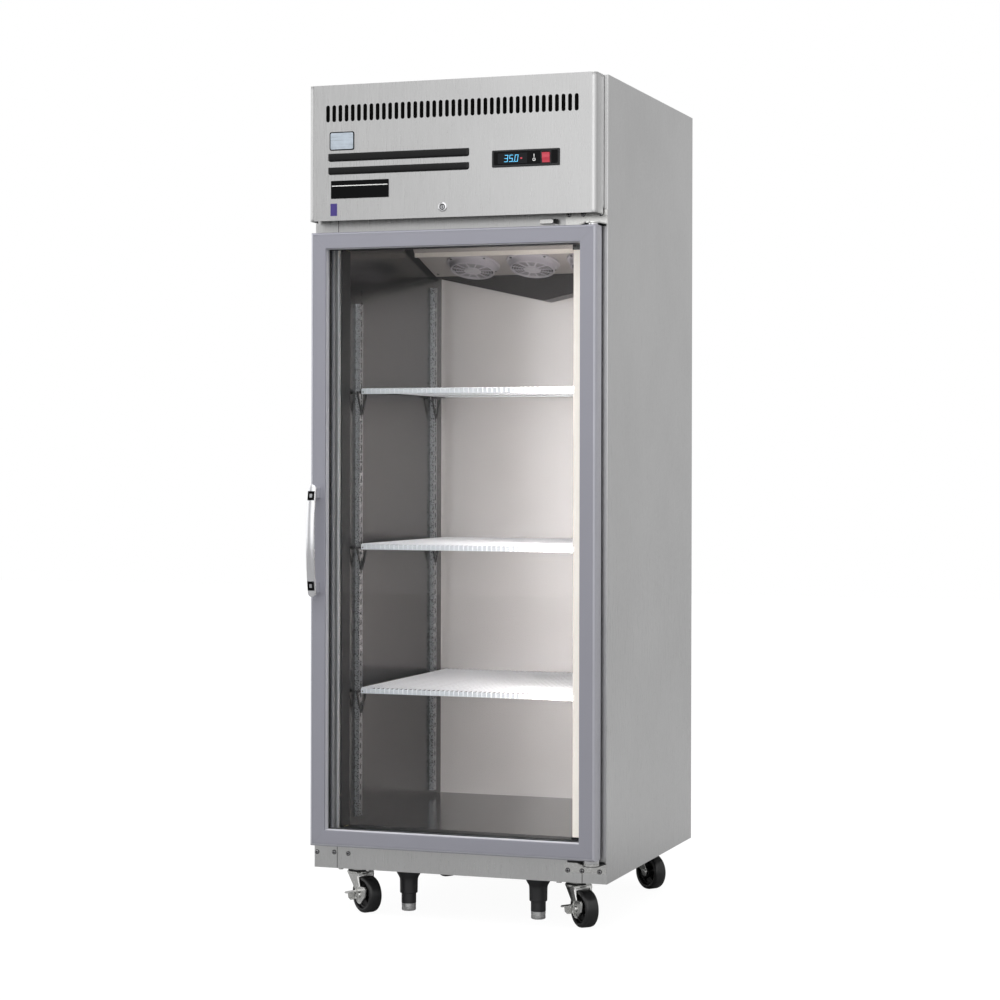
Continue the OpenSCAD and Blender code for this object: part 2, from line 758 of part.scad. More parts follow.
// Motor of the condenser fan, on two feet that stand on the deck.
module big_motor() {
    difference() {
        translate([0, shroud_y + 62, big_fan_z]) rotate([-90, 0, 0]) cylinder(h = 66, r = 38);
        translate([0, shroud_y + 61, big_fan_z]) rotate([-90, 0, 0]) cylinder(h = 30, r = 4 + run_clear);
    }
    block([-42, shroud_y + 74, machine_z], [-30, shroud_y + 116, big_fan_z]);
    block([30, shroud_y + 74, machine_z], [42, shroud_y + 116, big_fan_z]);
}

module fan_motors() placed() color("#4a4d50") {
    for (x = fan_spots) at_fan(x) small_motor();
    big_motor();
}

// Rotor: a cup round its motor, raked blades and a shaft.
module small_rotor() {
    cup_r = motor_r + 4;
    difference() {
        translate([0, 0, -16]) cylinder(h = 22, r = cup_r);
        translate([0, 0, -17]) cylinder(h = 21, r = motor_r + 1);
    }
    translate([0, 0, -4]) cylinder(h = 9, r = 2);
    intersection() {
        for (i = [0 : 4]) rotate([0, 0, i * 72])
            translate([cup_r - 1.5, -11, -7]) rotate([32, 0, 0]) cube([rotor_r - cup_r + 4, 22, 1.6]);
        translate([0, 0, -17]) difference() {
            cylinder(h = 30, r = rotor_r);
            translate([0, 0, -1]) cylinder(h = 32, r = cup_r - 1);
        }
    }
}

module evap_fan(i) placed() color("#2c2e30") at_fan(fan_spots[i]) small_rotor();

module evap_fan_left() evap_fan(0);

module evap_fan_middle() evap_fan(1);

module evap_fan_right() evap_fan(2);

// Drain line from the pan through the back wall down to the condensate pan under the base.
module condensate_drain() placed() {
    low = base_z - 14;
    color("white") difference() {
        pipe_run([[0, back_in - 8, drain_out_z], [0, drain_y, drain_out_z], [0, drain_y, low]], drain_r);
        pipe_run([[0, back_in - 9, drain_out_z], [0, drain_y, drain_out_z], [0, drain_y, low - 1]],
                 drain_r - 2);
    }
    color("#2b2b2b") difference() {
        block([-120, drain_y - 110, base_z - 34], [120, back_skin - 4, base_z]);
        block([-118, drain_y - 108, base_z - 32], [118, back_skin - 6, base_z + 1]);
    }
}

// ---- lamp ----

lamp_x1 = mouth_x - bead_h;
lamp_x0 = lamp_x1 - lamp_w;
lamp_y0 = return_d + 2;
channel_w = 9;

module lamp_housing() placed() color("silver") {
    block([lamp_x1 - channel_w, lamp_y0 - 1, floor_z + lamp_end[0]],
          [lamp_x1, lamp_y0 + lamp_d + 1, mouth_z - lamp_end[1]]);
    for (span = [[floor_z + 2, floor_z + lamp_end[0]], [mouth_z - lamp_end[1], mouth_z - 4]])
        block([lamp_x0, lamp_y0 - 1, span[0]], [lamp_x1, lamp_y0 + lamp_d + 1, span[1]]);
}

// Milky cover with rounded edges towards the room inside.
module lamp_diffuser() placed() color("white")
    translate([0, 0, floor_z + lamp_end[0] + 0.2])
    linear_extrude(mouth_h - lamp_end[0] - lamp_end[1] - 0.4) {
        translate([lamp_x0 + 8, lamp_y0]) square([lamp_w - channel_w - 8.2, lamp_d]);
        translate([lamp_x0, lamp_y0 + 8]) square([9, lamp_d - 16]);
        translate([lamp_x0 + 8, lamp_y0 + 8]) circle(r = 8);
        translate([lamp_x0 + 8, lamp_y0 + lamp_d - 8]) circle(r = 8);
    }

// ---- machine compartment ----

// Hermetic compressor with a domed shell on rubber feet.
module compressor() placed() {
    color("#17181a") translate([compressor_at[0], compressor_at[1], machine_z + 18]) {
        rotate_extrude() polygon([
            [0, 0], [compressor_r - 20, 0], [compressor_r - 4, 14], [compressor_r, 40],
            [compressor_r, 92], [compressor_r + 3, 94], [compressor_r + 3, 100],
            [compressor_r, 102], [compressor_r - 6, 130], [compressor_r - 28, 160],
            [compressor_r - 60, 172], [0, 174]
        ]);
        difference() {
            translate([-98, -78, -4]) cube([196, 156, 4.5]);
            for (x = [-84, 84], y = [-64, 64]) translate([x, y, -5]) cylinder(h = 8, r = 7);
        }
    }
    color("#303030") for (x = [-84, 84], y = [-64, 64])
        translate([compressor_at[0] + x, compressor_at[1] + y, machine_z]) {
            cylinder(h = 13.8, r = 13);
            cylinder(h = 22, r = 6.5);
        }
}

module condenser_coil() placed() color("#9a9da0")
    finned_block(coil_x, coil_y, coil_y + coil_d, machine_z + coil_gap, machine_z + coil_gap + coil_h, 6, 1.2, 6);

// Plate with a round collar that guides the air to the condenser fan, standing on the deck.
module fan_shroud() placed() color("#26282b") difference() {
    union() {
        block([-coil_x, shroud_y - 3.8, machine_z], [coil_x, shroud_y, machine_z + coil_gap + coil_h]);
        translate([0, shroud_y - 1, big_fan_z]) rotate([-90, 0, 0])
            cylinder(h = 41, r = big_fan_r + 7);
        block([-coil_x, coil_y - 2, machine_z], [coil_x, shroud_y - 1, machine_z + 7.5]);
    }
    translate([0, shroud_y - 6, big_fan_z]) rotate([-90, 0, 0]) cylinder(h = 60, r = big_fan_r + 4);
}

module condenser_fan() placed() color("#3a3d40")
    translate([0, shroud_y + 22, big_fan_z]) rotate([-90, 0, 0]) {
        translate([0, 0, -12]) cylinder(h = 34, r = 30);
        translate([0, 0, 20]) cylinder(h = 44, r = 4);
        intersection() {
            for (i = [0 : 4]) rotate([0, 0, i * 72])
                translate([27, -24, -12]) rotate([28, 0, 0]) cube([big_fan_r, 50, 2]);
            translate([0, 0, -16]) cylinder(h = 36, r = big_fan_r);
        }
    }

// Copper lines: suction from the evaporator, discharge to the condenser, and the liquid line with
// its filter drier.
module refrigerant_pipes() placed() color("#b0662f") {
    suction_y = compressor_at[1] + compressor_r;
    line_z = machine_z + 130;
    hot_z = machine_z + 80;
    cold_z = machine_z + 44;
    coil_mid = coil_y + coil_d / 2;
    hot_y = compressor_at[1] - compressor_r - 96;
    drier_y = coil_y + 179;
    pipe_run([
        [coil_end + 0.3, riser_y, suction_z], [riser_x, riser_y, suction_z],
        [riser_x, riser_y, line_z], [compressor_at[0], riser_y, line_z],
        [compressor_at[0], suction_y - 0.7, line_z]
    ], 5);
    pipe_run([
        [compressor_at[0], compressor_at[1] - compressor_r - 0.4, hot_z],
        [compressor_at[0], hot_y, hot_z], [-coil_x - 30, hot_y, hot_z],
        [-coil_x - 30, coil_mid, hot_z], [-coil_x - 0.3, coil_mid, hot_z]
    ], 4);
    pipe_run([
        [coil_x + 0.3, coil_mid, cold_z], [coil_x + 40, coil_mid, cold_z],
        [coil_x + 40, drier_y + 1, cold_z]
    ], 3);
    rod([coil_x + 40, drier_y, cold_z], [coil_x + 40, drier_y + drier_l, cold_z], drier_r);
    pipe_run([
        [coil_x + 40, drier_y + drier_l - 2, cold_z], [coil_x + 40, riser_y - 40, cold_z],
        [riser_x, riser_y - 8, cold_z], [riser_x, riser_y - 8, suction_z + 14]
    ], 1.5);
}

// Electrical box with its lid.
module control_box() placed() color("#6f7478") {
    lid_z = machine_z + control_h + 0.2;
    block([control_x, control_y, machine_z],
          [control_x + control_w, control_y + control_d, machine_z + control_h]);
    block([control_x - lid_lap, control_y - lid_lap, lid_z],
          [control_x + control_w + lid_lap, control_y + control_d + lid_lap, lid_z + lid_t]);
}

// ---- hood ----

// Outline of the hood from above, with round front corners.
module hood_outline(inset) {
    r = hood_corner_r - inset;
    x = hood_half - inset;
    y0 = -hood_out + inset;
    translate([-x, y0 + r]) square([2 * x, hood_out - hood_back_gap - inset - r]);
    translate([-x + r, y0]) square([2 * x - 2 * r, r + 1]);
    for (side = [-1, 1]) translate([side * (x - r), y0 + r]) circle(r = r);
}

// Slot with round ends, from z0 to z0 + h, centred on x.
module slot_outline(x, z0, w, h) {
    translate([x - w / 2, z0 + w / 2]) square([w, h - w]);
    for (z = [z0 + w / 2, z0 + h - w / 2]) translate([x, z]) circle(r = w / 2);
}

module hood_panel() placed() color("lightgray") {
    difference() {
        translate([0, 0, hood_low]) linear_extrude(hood_h) hood_outline(0);
        translate([0, 0, hood_low - 1]) linear_extrude(hood_h + 1 - sheet) {
            hood_outline(sheet);
            translate([-hood_half + sheet, -hood_back_gap - 5]) square([2 * (hood_half - sheet), 10]);
        }
        along_y(-hood_out - 1, -hood_out + sheet + 1) {
            for (i = [0 : slot_count - 1])
                slot_outline((i - (slot_count - 1) / 2) * slot_pitch,
                             hood_top - slot_drop - slot_h, slot_w, slot_h);
            translate([bezel_x - bezel_w / 2 + 4, bezel_z - bezel_h / 2 + 4])
                square([bezel_w - 8, bezel_h - 8]);
            translate([lock_x, lock_z]) circle(r = lock_r - 2 + run_clear);
        }
        for (x = [-ear_x, ear_x])
            block([x - ear_w / 2 - ear_gap, hood_pivot_y - 8, hood_top - 5],
                  [x + ear_w / 2 + ear_gap, 1, hood_top + 1]);
        block([-hood_half - 1, -9, hood_low - 1], [hood_half + 1, 1, hood_low + 16]);
    }
    for (x = [-ear_x, ear_x], side = [-1, 1])
        translate([x + side * (ear_w / 2 + ear_gap), hood_pivot_y, hood_pivot_z])
            rotate([0, side * 90, 0]) difference() {
                cylinder(h = knuckle_l - ear_gap, r = knuckle_r);
                translate([0, 0, -1]) cylinder(h = knuckle_l + 2, r = hood_pin_r + run_clear);
            }
}

// Plate with the two lower corners rounded, from a left lower corner.
module bar_outline(w, h, r) {
    translate([0, r]) square([w, h - r]);
    translate([r, 0]) square([w - 2 * r, r + 1]);
    for (x = [r, w - r]) translate([x, r]) circle(r = r);
}

// Trim bars, name plate, badge and a small label, all bare.
module hood_trim() placed() {
    left = -hood_half + 49.5;
    back = -hood_out;
    color("#2a2a2c") along_y(back - trim_out, back) {
        translate([left, hood_low + 141.5]) bar_outline(bar_l, bar_h[0], 6);
        translate([left, hood_low + 110]) bar_outline(bar_l, bar_h[1], 6);
    }
    color("#2d3138") along_y(back - 1.5, back)
        translate([left + 7.5, hood_low + 52.5]) square([149, 43]);
    color("#d5d8dc") along_y(back - 1.2, back)
        translate([left + 3.5, hood_low + 168]) square([64, 45]);
    color("#3b2f72") along_y(back - 0.6, back)
        translate([left + 6, hood_low + 11.5]) square([17, 29.5]);
}

// Bezel of the thermometer with a well for its window and one for the rocker.
module display_bezel() placed() color("#1e1f21") difference() {
    union() {
        along_y(-hood_out - trim_out, -hood_out)
            translate([bezel_x - bezel_w / 2, bezel_z - bezel_h / 2]) square([bezel_w, bezel_h]);
        along_y(-hood_out - 0.5, -hood_out + 24)
            translate([bezel_x - bezel_w / 2 + 4.3, bezel_z - bezel_h / 2 + 4.3])
                square([bezel_w - 8.6, bezel_h - 8.6]);
    }
    along_y(-hood_out - trim_out - 1, -hood_out - 1)
        translate([bezel_x - 69, bezel_z - 12.5]) square([73, 25]);
    along_y(-hood_out - trim_out - 1, -hood_out + 12)
        translate([rocker_x - rocker_w / 2 - 0.4, bezel_z - rocker_h / 2 - rocker_clear])
            square([rocker_w + 0.8, rocker_h + 2 * rocker_clear]);
    translate([rocker_x - rocker_w / 2 - 4, rocker_y, bezel_z])
        rotate([0, 90, 0]) cylinder(h = rocker_w + 8, r = 1.5 + run_clear);
}

// Rocker of the power switch on two small trunnions, resting with its lower half standing out.
module rocker_switch() placed() color("#c0505f")
    translate([rocker_x, rocker_y, bezel_z]) rotate([rocker_tilt, 0, 0]) {
        along_x(-rocker_w / 2, rocker_w / 2) polygon([
            [-3, -rocker_h / 2], [-4, 0], [-3, rocker_h / 2], [4, rocker_h / 2 - 3],
            [6, 0], [4, -rocker_h / 2 + 3]
        ]);
        rod([-rocker_w / 2 - 3, 0, 0], [rocker_w / 2 + 3, 0, 0], 1.5);
    }

// Cylinder lock with its tongue lying level, clear of the door.
module lock_cylinder() placed() color("silver") translate([lock_x, 0, lock_z]) {
    difference() {
        union() {
            along_y(-hood_out - trim_out, -hood_out - 0.1) circle(r = lock_r);
            along_y(-hood_out - 1, -hood_out + 23) circle(r = lock_r - 2);
        }
        along_y(-hood_out - trim_out - 1, -hood_out - trim_out + 1.5)
            translate([-1.2, -4]) square([2.4, 8]);
    }
    along_y(-hood_out + 20, -hood_out + 23) {
        translate([0, -6]) square([tongue_l - 6, 12]);
        translate([tongue_l - 6, 0]) circle(r = 6);
    }
}

// ---- door ----

// Section of a frame member: first axis from the outer to the inner edge, second from the front
// to the back. The groove for the glass opens inwards.
module frame_outline() polygon([
    [frame_bevel, 0], [frame_w - frame_bevel, 0], [frame_w, frame_bevel],
    [frame_w, glass_setback - glass_clear], [frame_w - groove_d, glass_setback - glass_clear],
    [frame_w - groove_d, glass_setback + glass_unit_t + glass_clear],
    [frame_w, glass_setback + glass_unit_t + glass_clear],
    [frame_w, door_t], [0, door_t], [0, frame_bevel]
]);

// Member lying along x with mitred ends, its outer edge down at z = 0 and its face to the front.
module frame_member(half) intersection() {
    along_x(-half, half) translate([-door_face, 0]) mirror([1, -1]) frame_outline();
    along_y(-door_face - 1, 0) polygon([
        [-half + mitre_gap, 0], [half - mitre_gap, 0],
        [half - mitre_gap - frame_w, frame_w], [-half + mitre_gap + frame_w, frame_w]
    ]);
}

// Four members mitred at the corners, with the holes for the hinge bushes and the slot that
// takes the tongue of the lock.
module door_frame() placed() color("#9b9ca2") difference() {
    union() {
        for (turn = [0, 180]) translate([0, 0, door_mid]) rotate([0, turn, 0])
            translate([0, 0, -door_h / 2]) frame_member(door_half);
        for (turn = [90, -90]) translate([0, 0, door_mid]) rotate([0, turn, 0])
            translate([0, 0, -door_half]) frame_member(door_h / 2);
    }
    for (z = [door_low - 1, door_top - bush_l - 0.5]) translate([pivot_x, -pivot_out, z])
        cylinder(h = bush_l + 1.5, r = bush_r + run_clear);
    block([lock_x - 9, tongue_y - 2, door_top - 14], [lock_x + 42, tongue_y + 5, door_top + 1]);
}

// Two panes with a spacer ring between them.
module glass_unit() placed() color("lightblue") {
    x = sight_x + groove_d - glass_clear;
    low = door_low + frame_w - groove_d + glass_clear;
    high = door_top - frame_w + groove_d - glass_clear;
    block([-x, -glass_y, low], [x, -glass_y + pane_t, high]);
    block([-x, -glass_y + pane_t + pane_gap, low], [x, -glass_y + glass_unit_t, high]);
    difference() {
        block([-x + 2, -glass_y + pane_t + 0.1, low + 2],
              [x - 2, -glass_y + pane_t + pane_gap - 0.1, high - 2]);
        block([-x + 9, -glass_y, low + 9], [x - 9, 0, high - 9]);
    }
}

// Ring between two distances from the door edge, from y0 to y1.
module edge_ring(y0, y1, outer, inner) difference() {
    block([-door_half + gasket_side + outer, y0, door_low + gasket_end + outer],
          [door_half - gasket_side - outer, y1, door_top - gasket_end - outer]);
    block([-door_half + gasket_side + inner, y0 - 1, door_low + gasket_end + inner],
          [door_half - gasket_side - inner, y1 + 1, door_top - gasket_end - inner]);
}

// Gasket: a strip on the door, a neck and the magnet box that meets the cabinet.
module door_gasket() placed() color("#8d8f92") {
    edge_ring(-door_back, -door_back + 3.2, 0, gasket_w);
    edge_ring(-door_back + 3, -door_back + 5.2, 5, gasket_w - 5);
    edge_ring(-door_back + 5, -seal_gap, 2, gasket_w - 2);
}

// Bowed bar with a rounded face on two feet.
module door_handle() placed() color("gainsboro") translate([-stile_x, 0, base_z + handle_mid]) {
    round_r = 14;
    intersection() {
        translate([0, -handle_face + handle_arc_r + handle_t, 0]) rotate([0, 90, 0])
            rotate_extrude($fn = 96) translate([handle_arc_r, 0]) intersection() {
                translate([0, -handle_w / 2]) square([handle_t, handle_w]);
                translate([handle_t - round_r, 0]) circle(r = round_r);
            }
        along_y(-handle_face - 1, -door_face) slot_outline(0, -handle_l / 2, handle_w, handle_l);
    }
    for (side = [-1, 1])
        block([-7, -door_face - handle_gap - 3, side * (handle_l / 2 - 21) - handle_foot_h / 2],
              [7, -door_face, side * (handle_l / 2 - 21) + handle_foot_h / 2]);
}

// Bushes pressed into the door: the lower one ends in a collar that turns on the bracket.
module door_bushes() placed() color("silver") translate([pivot_x, -pivot_out, 0]) {
    difference() {
        union() {
            translate([0, 0, door_low]) cylinder(h = bush_l, r = bush_r);
            translate([0, 0, door_low - door_drop / 2 + race_gap])
                cylinder(h = door_drop / 2 - race_gap, r = collar_r);
        }
        translate([0, 0, door_low - door_drop]) cylinder(h = 60, r = pin_r + run_clear);
    }
    difference() {
        union() {
            translate([0, 0, door_top - bush_l]) cylinder(h = bush_l, r = bush_r);
            translate([0, 0, door_top]) cylinder(h = door_head_gap - race_gap, r = bush_r + 4);
        }
        translate([0, 0, door_top - 50]) cylinder(h = 60, r = pin_r + run_clear);
    }
}

// Tongue of a hinge bracket seen from above.
module bracket_tongue() {
    polygon([
        [bracket_x + 30, 0], [bracket_x + bracket_w, 0],
        [pivot_x + 20, -pivot_out], [pivot_x - 20, -pivot_out]
    ]);
    translate([pivot_x, -pivot_out]) circle(r = 20);
}

// Two angle brackets screwed to the cabinet face, each with its hinge pin.
module hinge_brackets() placed() color("silver") {
    difference() {
        union() {
            block([bracket_x, -bracket_t, bottom_plate_z],
                  [bracket_x + bracket_w, 0, bottom_plate_z + bracket_h]);
            block([bracket_x, -bracket_t, top_plate_z],
                  [bracket_x + bracket_w, 0, top_plate_z + top_plate_h]);
        }
        front_holes();
    }
    translate([0, 0, bottom_plate_z + bracket_h - bracket_t]) linear_extrude(bracket_t) bracket_tongue();
    translate([0, 0, top_plate_z]) linear_extrude(bracket_t) bracket_tongue();
    translate([pivot_x, -pivot_out, 0]) {
        translate([0, 0, door_low - door_drop - 1]) cylinder(h = door_drop + pin_grip + 1, r = pin_r);
        translate([0, 0, door_low - door_drop - 0.5]) cylinder(h = door_drop / 2 + 0.5, r = collar_r);
        translate([0, 0, door_top - pin_grip]) cylinder(h = pin_grip + door_head_gap + 1, r = pin_r);
    }
}

module screws() placed() color("silver") {
    for (at = kick_screws) face_screw(at[0], base_z + at[1]);
    translate([0, -bracket_t, 0]) for (x = bracket_screws) {
        face_screw(x, bottom_plate_z + 5);
        face_screw(x, top_plate_z + 25);
    }
}

// ---- casters and legs ----

// Moves a piece to one caster: origin on the floor under the swivel axis, axle along x.
module at_caster(i) translate([caster_spots[i][0], caster_spots[i][1], 0])
    rotate([0, 0, caster_turns[i]]) children();

// Top plate with four bolt heads, the upper race and the headed kingpin.
module caster_plates() placed() color("silver") for (at = caster_spots)
    translate([at[0], at[1], 0]) {
        block([-46, -42, base_z - plate_t], [46, 42, base_z]);
        for (x = [-36, 36], y = [-32, 32])
            translate([x, y, base_z - plate_t - 4]) cylinder(h = 4.5, r = 6.5, $fn = 6);
        translate([0, 0, crown_top + race_gap])
            cylinder(h = base_z - plate_t - crown_top - race_gap + 0.5, r = 22);
        translate([0, 0, crown_low - 2]) cylinder(h = base_z - crown_low, r = kingpin_r);
        translate([0, 0, crown_low - race_gap - 2.6]) cylinder(h = 2.6, r = kingpin_r + 3);
    }

// Side plate of a fork, from the crown down to the axle.
module fork_leg() {
    polygon([
        [-22, crown_low + 2.5], [24, crown_low + 2.5], [31, crown_low - 5],
        [caster_trail + 12, wheel_r + 4], [caster_trail - 12, wheel_r + 4], [-17, crown_low - 16]
    ]);
    translate([caster_trail, wheel_r]) circle(r = 12.6);
}

// Fork with its crown, two side plates and the riveted axle, longer where a brake sits on it.
module fork(brake) {
    outer = fork_inner + fork_t;
    difference() {
        union() {
            translate([0, 0, crown_low]) cylinder(h = crown_top - crown_low, r1 = 30, r2 = 27);
            block([-outer, -22, crown_low], [outer, 24, crown_low + 3]);
        }
        translate([0, 0, crown_low - 1]) cylinder(h = 30, r = kingpin_r + run_clear);
    }
    for (side = [-1, 1]) along_x(side > 0 ? fork_inner : -outer, side > 0 ? outer : -fork_inner)
        fork_leg();
    reach = outer + (brake ? brake_t + 2 * brake_gap : 0);
    rod([-outer - 3, caster_trail, wheel_r], [reach + 3, caster_trail, wheel_r], axle_r);
    for (x = [-outer - 3, reach]) translate([x, caster_trail, wheel_r])
        rotate([0, 90, 0]) cylinder(h = 3, r = 7.5);
}

// Side brake: a cam plate that turns on the axle, with a tab that stands out to be trodden on.
brake_t = 3;
brake_gap = 0.4;
tab_reach = 38;
module brake_lever() {
    x0 = fork_inner + fork_t + brake_gap;
    translate([0, caster_trail, wheel_r]) {
        difference() {
            along_x(x0, x0 + brake_t) polygon([
                [-12, -12], [-14, 9.5], [-8, 20], [12, 20], [18, 12], [16, -6], [4, -22], [-6, -20]
            ]);
            along_x(x0 - 1, x0 + brake_t + 1) circle(r = axle_r + run_clear);
        }
        along_y(-13, -10.5) polygon([
            [x0, -12], [x0 + 18, -12], [x0 + 24, -6], [x0 + 26, 10], [x0, 10]
        ]);
        along_x(x0, x0 + tab_reach) polygon([[-13, 8.6], [5, 8.6], [5, 11], [-13, 11]]);
    }
}

// Wheel: hub with a bore, thin web and rounded tread.
module wheel() translate([0, caster_trail, wheel_r]) rotate([0, 90, 0]) rotate_extrude() polygon([
    [axle_r + run_clear, -fork_inner + 0.6], [13, -fork_inner + 0.6], [13, -6],
    [wheel_r - 14, -6], [wheel_r - 12, -wheel_w / 2 + 1], [wheel_r - 3, -wheel_w / 2],
    [wheel_r, -wheel_w / 2 + 4], [wheel_r, wheel_w / 2 - 4], [wheel_r - 3, wheel_w / 2],
    [wheel_r - 12, wheel_w / 2 - 1], [wheel_r - 14, 6], [13, 6],
    [13, fork_inner - 0.6], [axle_r + run_clear, fork_inner - 0.6]
]);

module fork_front_left() placed() color("gainsboro") at_caster(0) fork(true);

module fork_front_right() placed() color("gainsboro") at_caster(1) fork(true);

module fork_rear_left() placed() color("gainsboro") at_caster(2) fork(false);

module fork_rear_right() placed() color("gainsboro") at_caster(3) fork(false);

module wheel_front_left() placed() color("#2e2f31") at_caster(0) wheel();

module wheel_front_right() placed() color("#2e2f31") at_caster(1) wheel();

module wheel_rear_left() placed() color("#2e2f31") at_caster(2) wheel();

module wheel_rear_right() placed() color("#2e2f31") at_caster(3) wheel();

module brake_lever_left() placed() color("silver") at_caster(0) brake_lever();

module brake_lever_right() placed() color("silver") at_caster(1) brake_lever();

// Fixed sleeves of the two levelling legs.
module leg_sleeves() placed() color("#3c3c3c") both_sides() translate([leg_x, leg_y, 0])
    difference() {
        union() {
            translate([0, 0, base_z - 3]) cylinder(h = 3, r = leg_r + 9.5);
            translate([0, 0, base_z - 29]) cylinder(h = 26.01, r1 = leg_r, r2 = leg_r + 9.5);
            translate([0, 0, foot_h + 24]) cylinder(h = base_z - foot_h - 53 + 0.01, r = leg_r);
        }
        translate([0, 0, foot_h + 23]) cylinder(h = 52, r = foot_r + 0.5 + run_clear);
    }

// Foot with its steel end and the shaft that slides in the sleeve.
module levelling_foot() {
    color("#959595") {
        cylinder(h = 2.01, r1 = foot_r - 2, r2 = foot_r);
        translate([0, 0, 2]) cylinder(h = foot_h - 2, r = foot_r);
    }
    color("#3c3c3c") translate([0, 0, foot_h - 0.01]) cylinder(h = 24 + 42, r = foot_r + 0.5);
}

module foot_left() placed() translate([-leg_x, leg_y, 0]) levelling_foot();

module foot_right() placed() translate([leg_x, leg_y, 0]) levelling_foot();

// ---- nodes ----

left_side_panel();
right_side_panel();
back_panel();
base_pan();
machine_deck();
top_cover();
rear_grille();
inner_liner();
insulation();
breaker_strips();
pilasters();
shelf_clips();
shelf_bottom();
shelf_middle();
shelf_top();
evaporator_cover();
drain_pan();
evaporator_coil();
fan_guards();
fan_motors();
evap_fan_left();
evap_fan_middle();
evap_fan_right();
condensate_drain();
lamp_housing();
lamp_diffuser();
compressor();
condenser_coil();
fan_shroud();
condenser_fan();
refrigerant_pipes();
control_box();
cord_gland();
door_switch();
hood_panel();
hood_trim();
display_bezel();
rocker_switch();
lock_cylinder();
door_frame();
glass_unit();
door_gasket();
door_handle();
door_bushes();
hinge_brackets();
screws();
caster_plates();
fork_front_left();
fork_front_right();
fork_rear_left();
fork_rear_right();
wheel_front_left();
wheel_front_right();
wheel_rear_left();
wheel_rear_right();
brake_lever_left();
brake_lever_right();
leg_sleeves();
foot_left();
foot_right();
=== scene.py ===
"""Looks of an upright reach-in refrigerator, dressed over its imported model."""

import logging
import math
from dataclasses import dataclass, field
from enum import Enum
from typing import Any, Callable, Iterable, Sequence

import bmesh
import bpy
from mathutils import Matrix, Vector


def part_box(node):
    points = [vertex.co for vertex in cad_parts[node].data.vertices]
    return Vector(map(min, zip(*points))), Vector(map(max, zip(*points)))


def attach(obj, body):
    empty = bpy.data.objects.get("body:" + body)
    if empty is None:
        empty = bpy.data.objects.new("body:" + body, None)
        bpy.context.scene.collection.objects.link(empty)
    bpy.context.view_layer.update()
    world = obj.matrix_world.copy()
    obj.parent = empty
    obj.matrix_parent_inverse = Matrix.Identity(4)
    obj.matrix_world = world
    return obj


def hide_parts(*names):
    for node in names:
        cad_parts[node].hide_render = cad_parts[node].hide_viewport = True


LOG = logging.getLogger("refrigerator")
Point = tuple[float, float, float]
Pair = tuple[float, float]
Outline = Sequence[Pair]
Rect = tuple[float, float, float, float]
Spot = Callable[[float, float, float], Point]

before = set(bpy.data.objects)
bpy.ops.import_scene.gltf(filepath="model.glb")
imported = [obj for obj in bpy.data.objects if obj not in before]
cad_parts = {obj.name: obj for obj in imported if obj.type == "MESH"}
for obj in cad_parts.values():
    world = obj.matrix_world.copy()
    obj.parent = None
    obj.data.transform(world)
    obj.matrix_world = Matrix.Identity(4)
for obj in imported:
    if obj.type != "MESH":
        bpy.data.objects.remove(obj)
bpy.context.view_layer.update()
MM = 1000  # millimetres in a metre
WHITE = (1.0, 1.0, 1.0, 1.0)


# --- Places and colours ---


def linear(code: str) -> tuple[float, float, float, float]:
    """Turns an sRGB hex code into linear colour.

    Args:
        code: Six hex digits.

    Returns:
        Red, green, blue and an alpha of one.
    """
    parts = [int(code[i : i + 2], 16) / 255 for i in (0, 2, 4)]
    low = [c / 12.92 if c <= 0.04045 else ((c + 0.055) / 1.055) ** 2.4 for c in parts]
    return (low[0], low[1], low[2], 1.0)


class Places:
    """Turns millimetres measured on the cabinet into metres of the model.

    x runs from the middle plane, y from the cabinet's front face to the back, z from its base.
    """

    def __init__(self) -> None:
        """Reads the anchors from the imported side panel."""
        low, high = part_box("left_side_panel")
        self.front = low.y
        self.base = low.z
        self.depth = (high.y - low.y) * MM
        self.height = (high.z - low.z) * MM
        self.half = -low.x * MM

    def at(self, x: float, y: float, z: float) -> Vector:
        """Gives the model point for cabinet millimetres."""
        return Vector((x / MM, self.front + y / MM, self.base + z / MM))

    def measured(self, point: Vector) -> Vector:
        """Gives the cabinet millimetres of a model point."""
        return (point - Vector((0, self.front, self.base))) * MM

    def box(self, node: str) -> tuple[Vector, Vector]:
        """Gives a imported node's lowest and highest corner in cabinet millimetres."""
        low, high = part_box(node)
        return self.measured(low), self.measured(high)


# --- Node trees ---


def add_node(tree: bpy.types.NodeTree, kind: str, links: dict[Any, Any] | None = None,
             inputs: dict[Any, Any] | None = None, **settings: Any) -> bpy.types.Node:
    """Adds one node with its settings, input values and incoming links.

    Args:
        tree: The node tree.
        kind: Blender's type name of the node.
        links: Input socket to the node, or the output socket, that feeds it.
        inputs: Input socket to its value.
        settings: Attributes of the node.

    Returns:
        The new node.
    """
    node = tree.nodes.new(kind)
    for name, value in settings.items():
        setattr(node, name, value)
    for name, value in (inputs or {}).items():
        node.inputs[name].default_value = value
    for name, source in (links or {}).items():
        socket = source.outputs[0] if isinstance(source, bpy.types.Node) else source
        tree.links.new(socket, node.inputs[name])
    return node


def blank_tree(owner: bpy.types.Material | bpy.types.World) -> bpy.types.NodeTree:
    """Turns on the node tree of a material or a world and empties it.

    Args:
        owner: The material or world.

    Returns:
        Its empty node tree.
    """
    owner.use_nodes = True
    owner.node_tree.nodes.clear()
    return owner.node_tree


class Grain(Enum):
    """Direction of a finish's grain."""

    ALONG_X = (0.02, 1.0, 1.0)
    ALONG_Y = (1.0, 0.02, 1.0)
    ALONG_Z = (1.0, 1.0, 0.02)
    EVEN = (1.0, 1.0, 1.0)


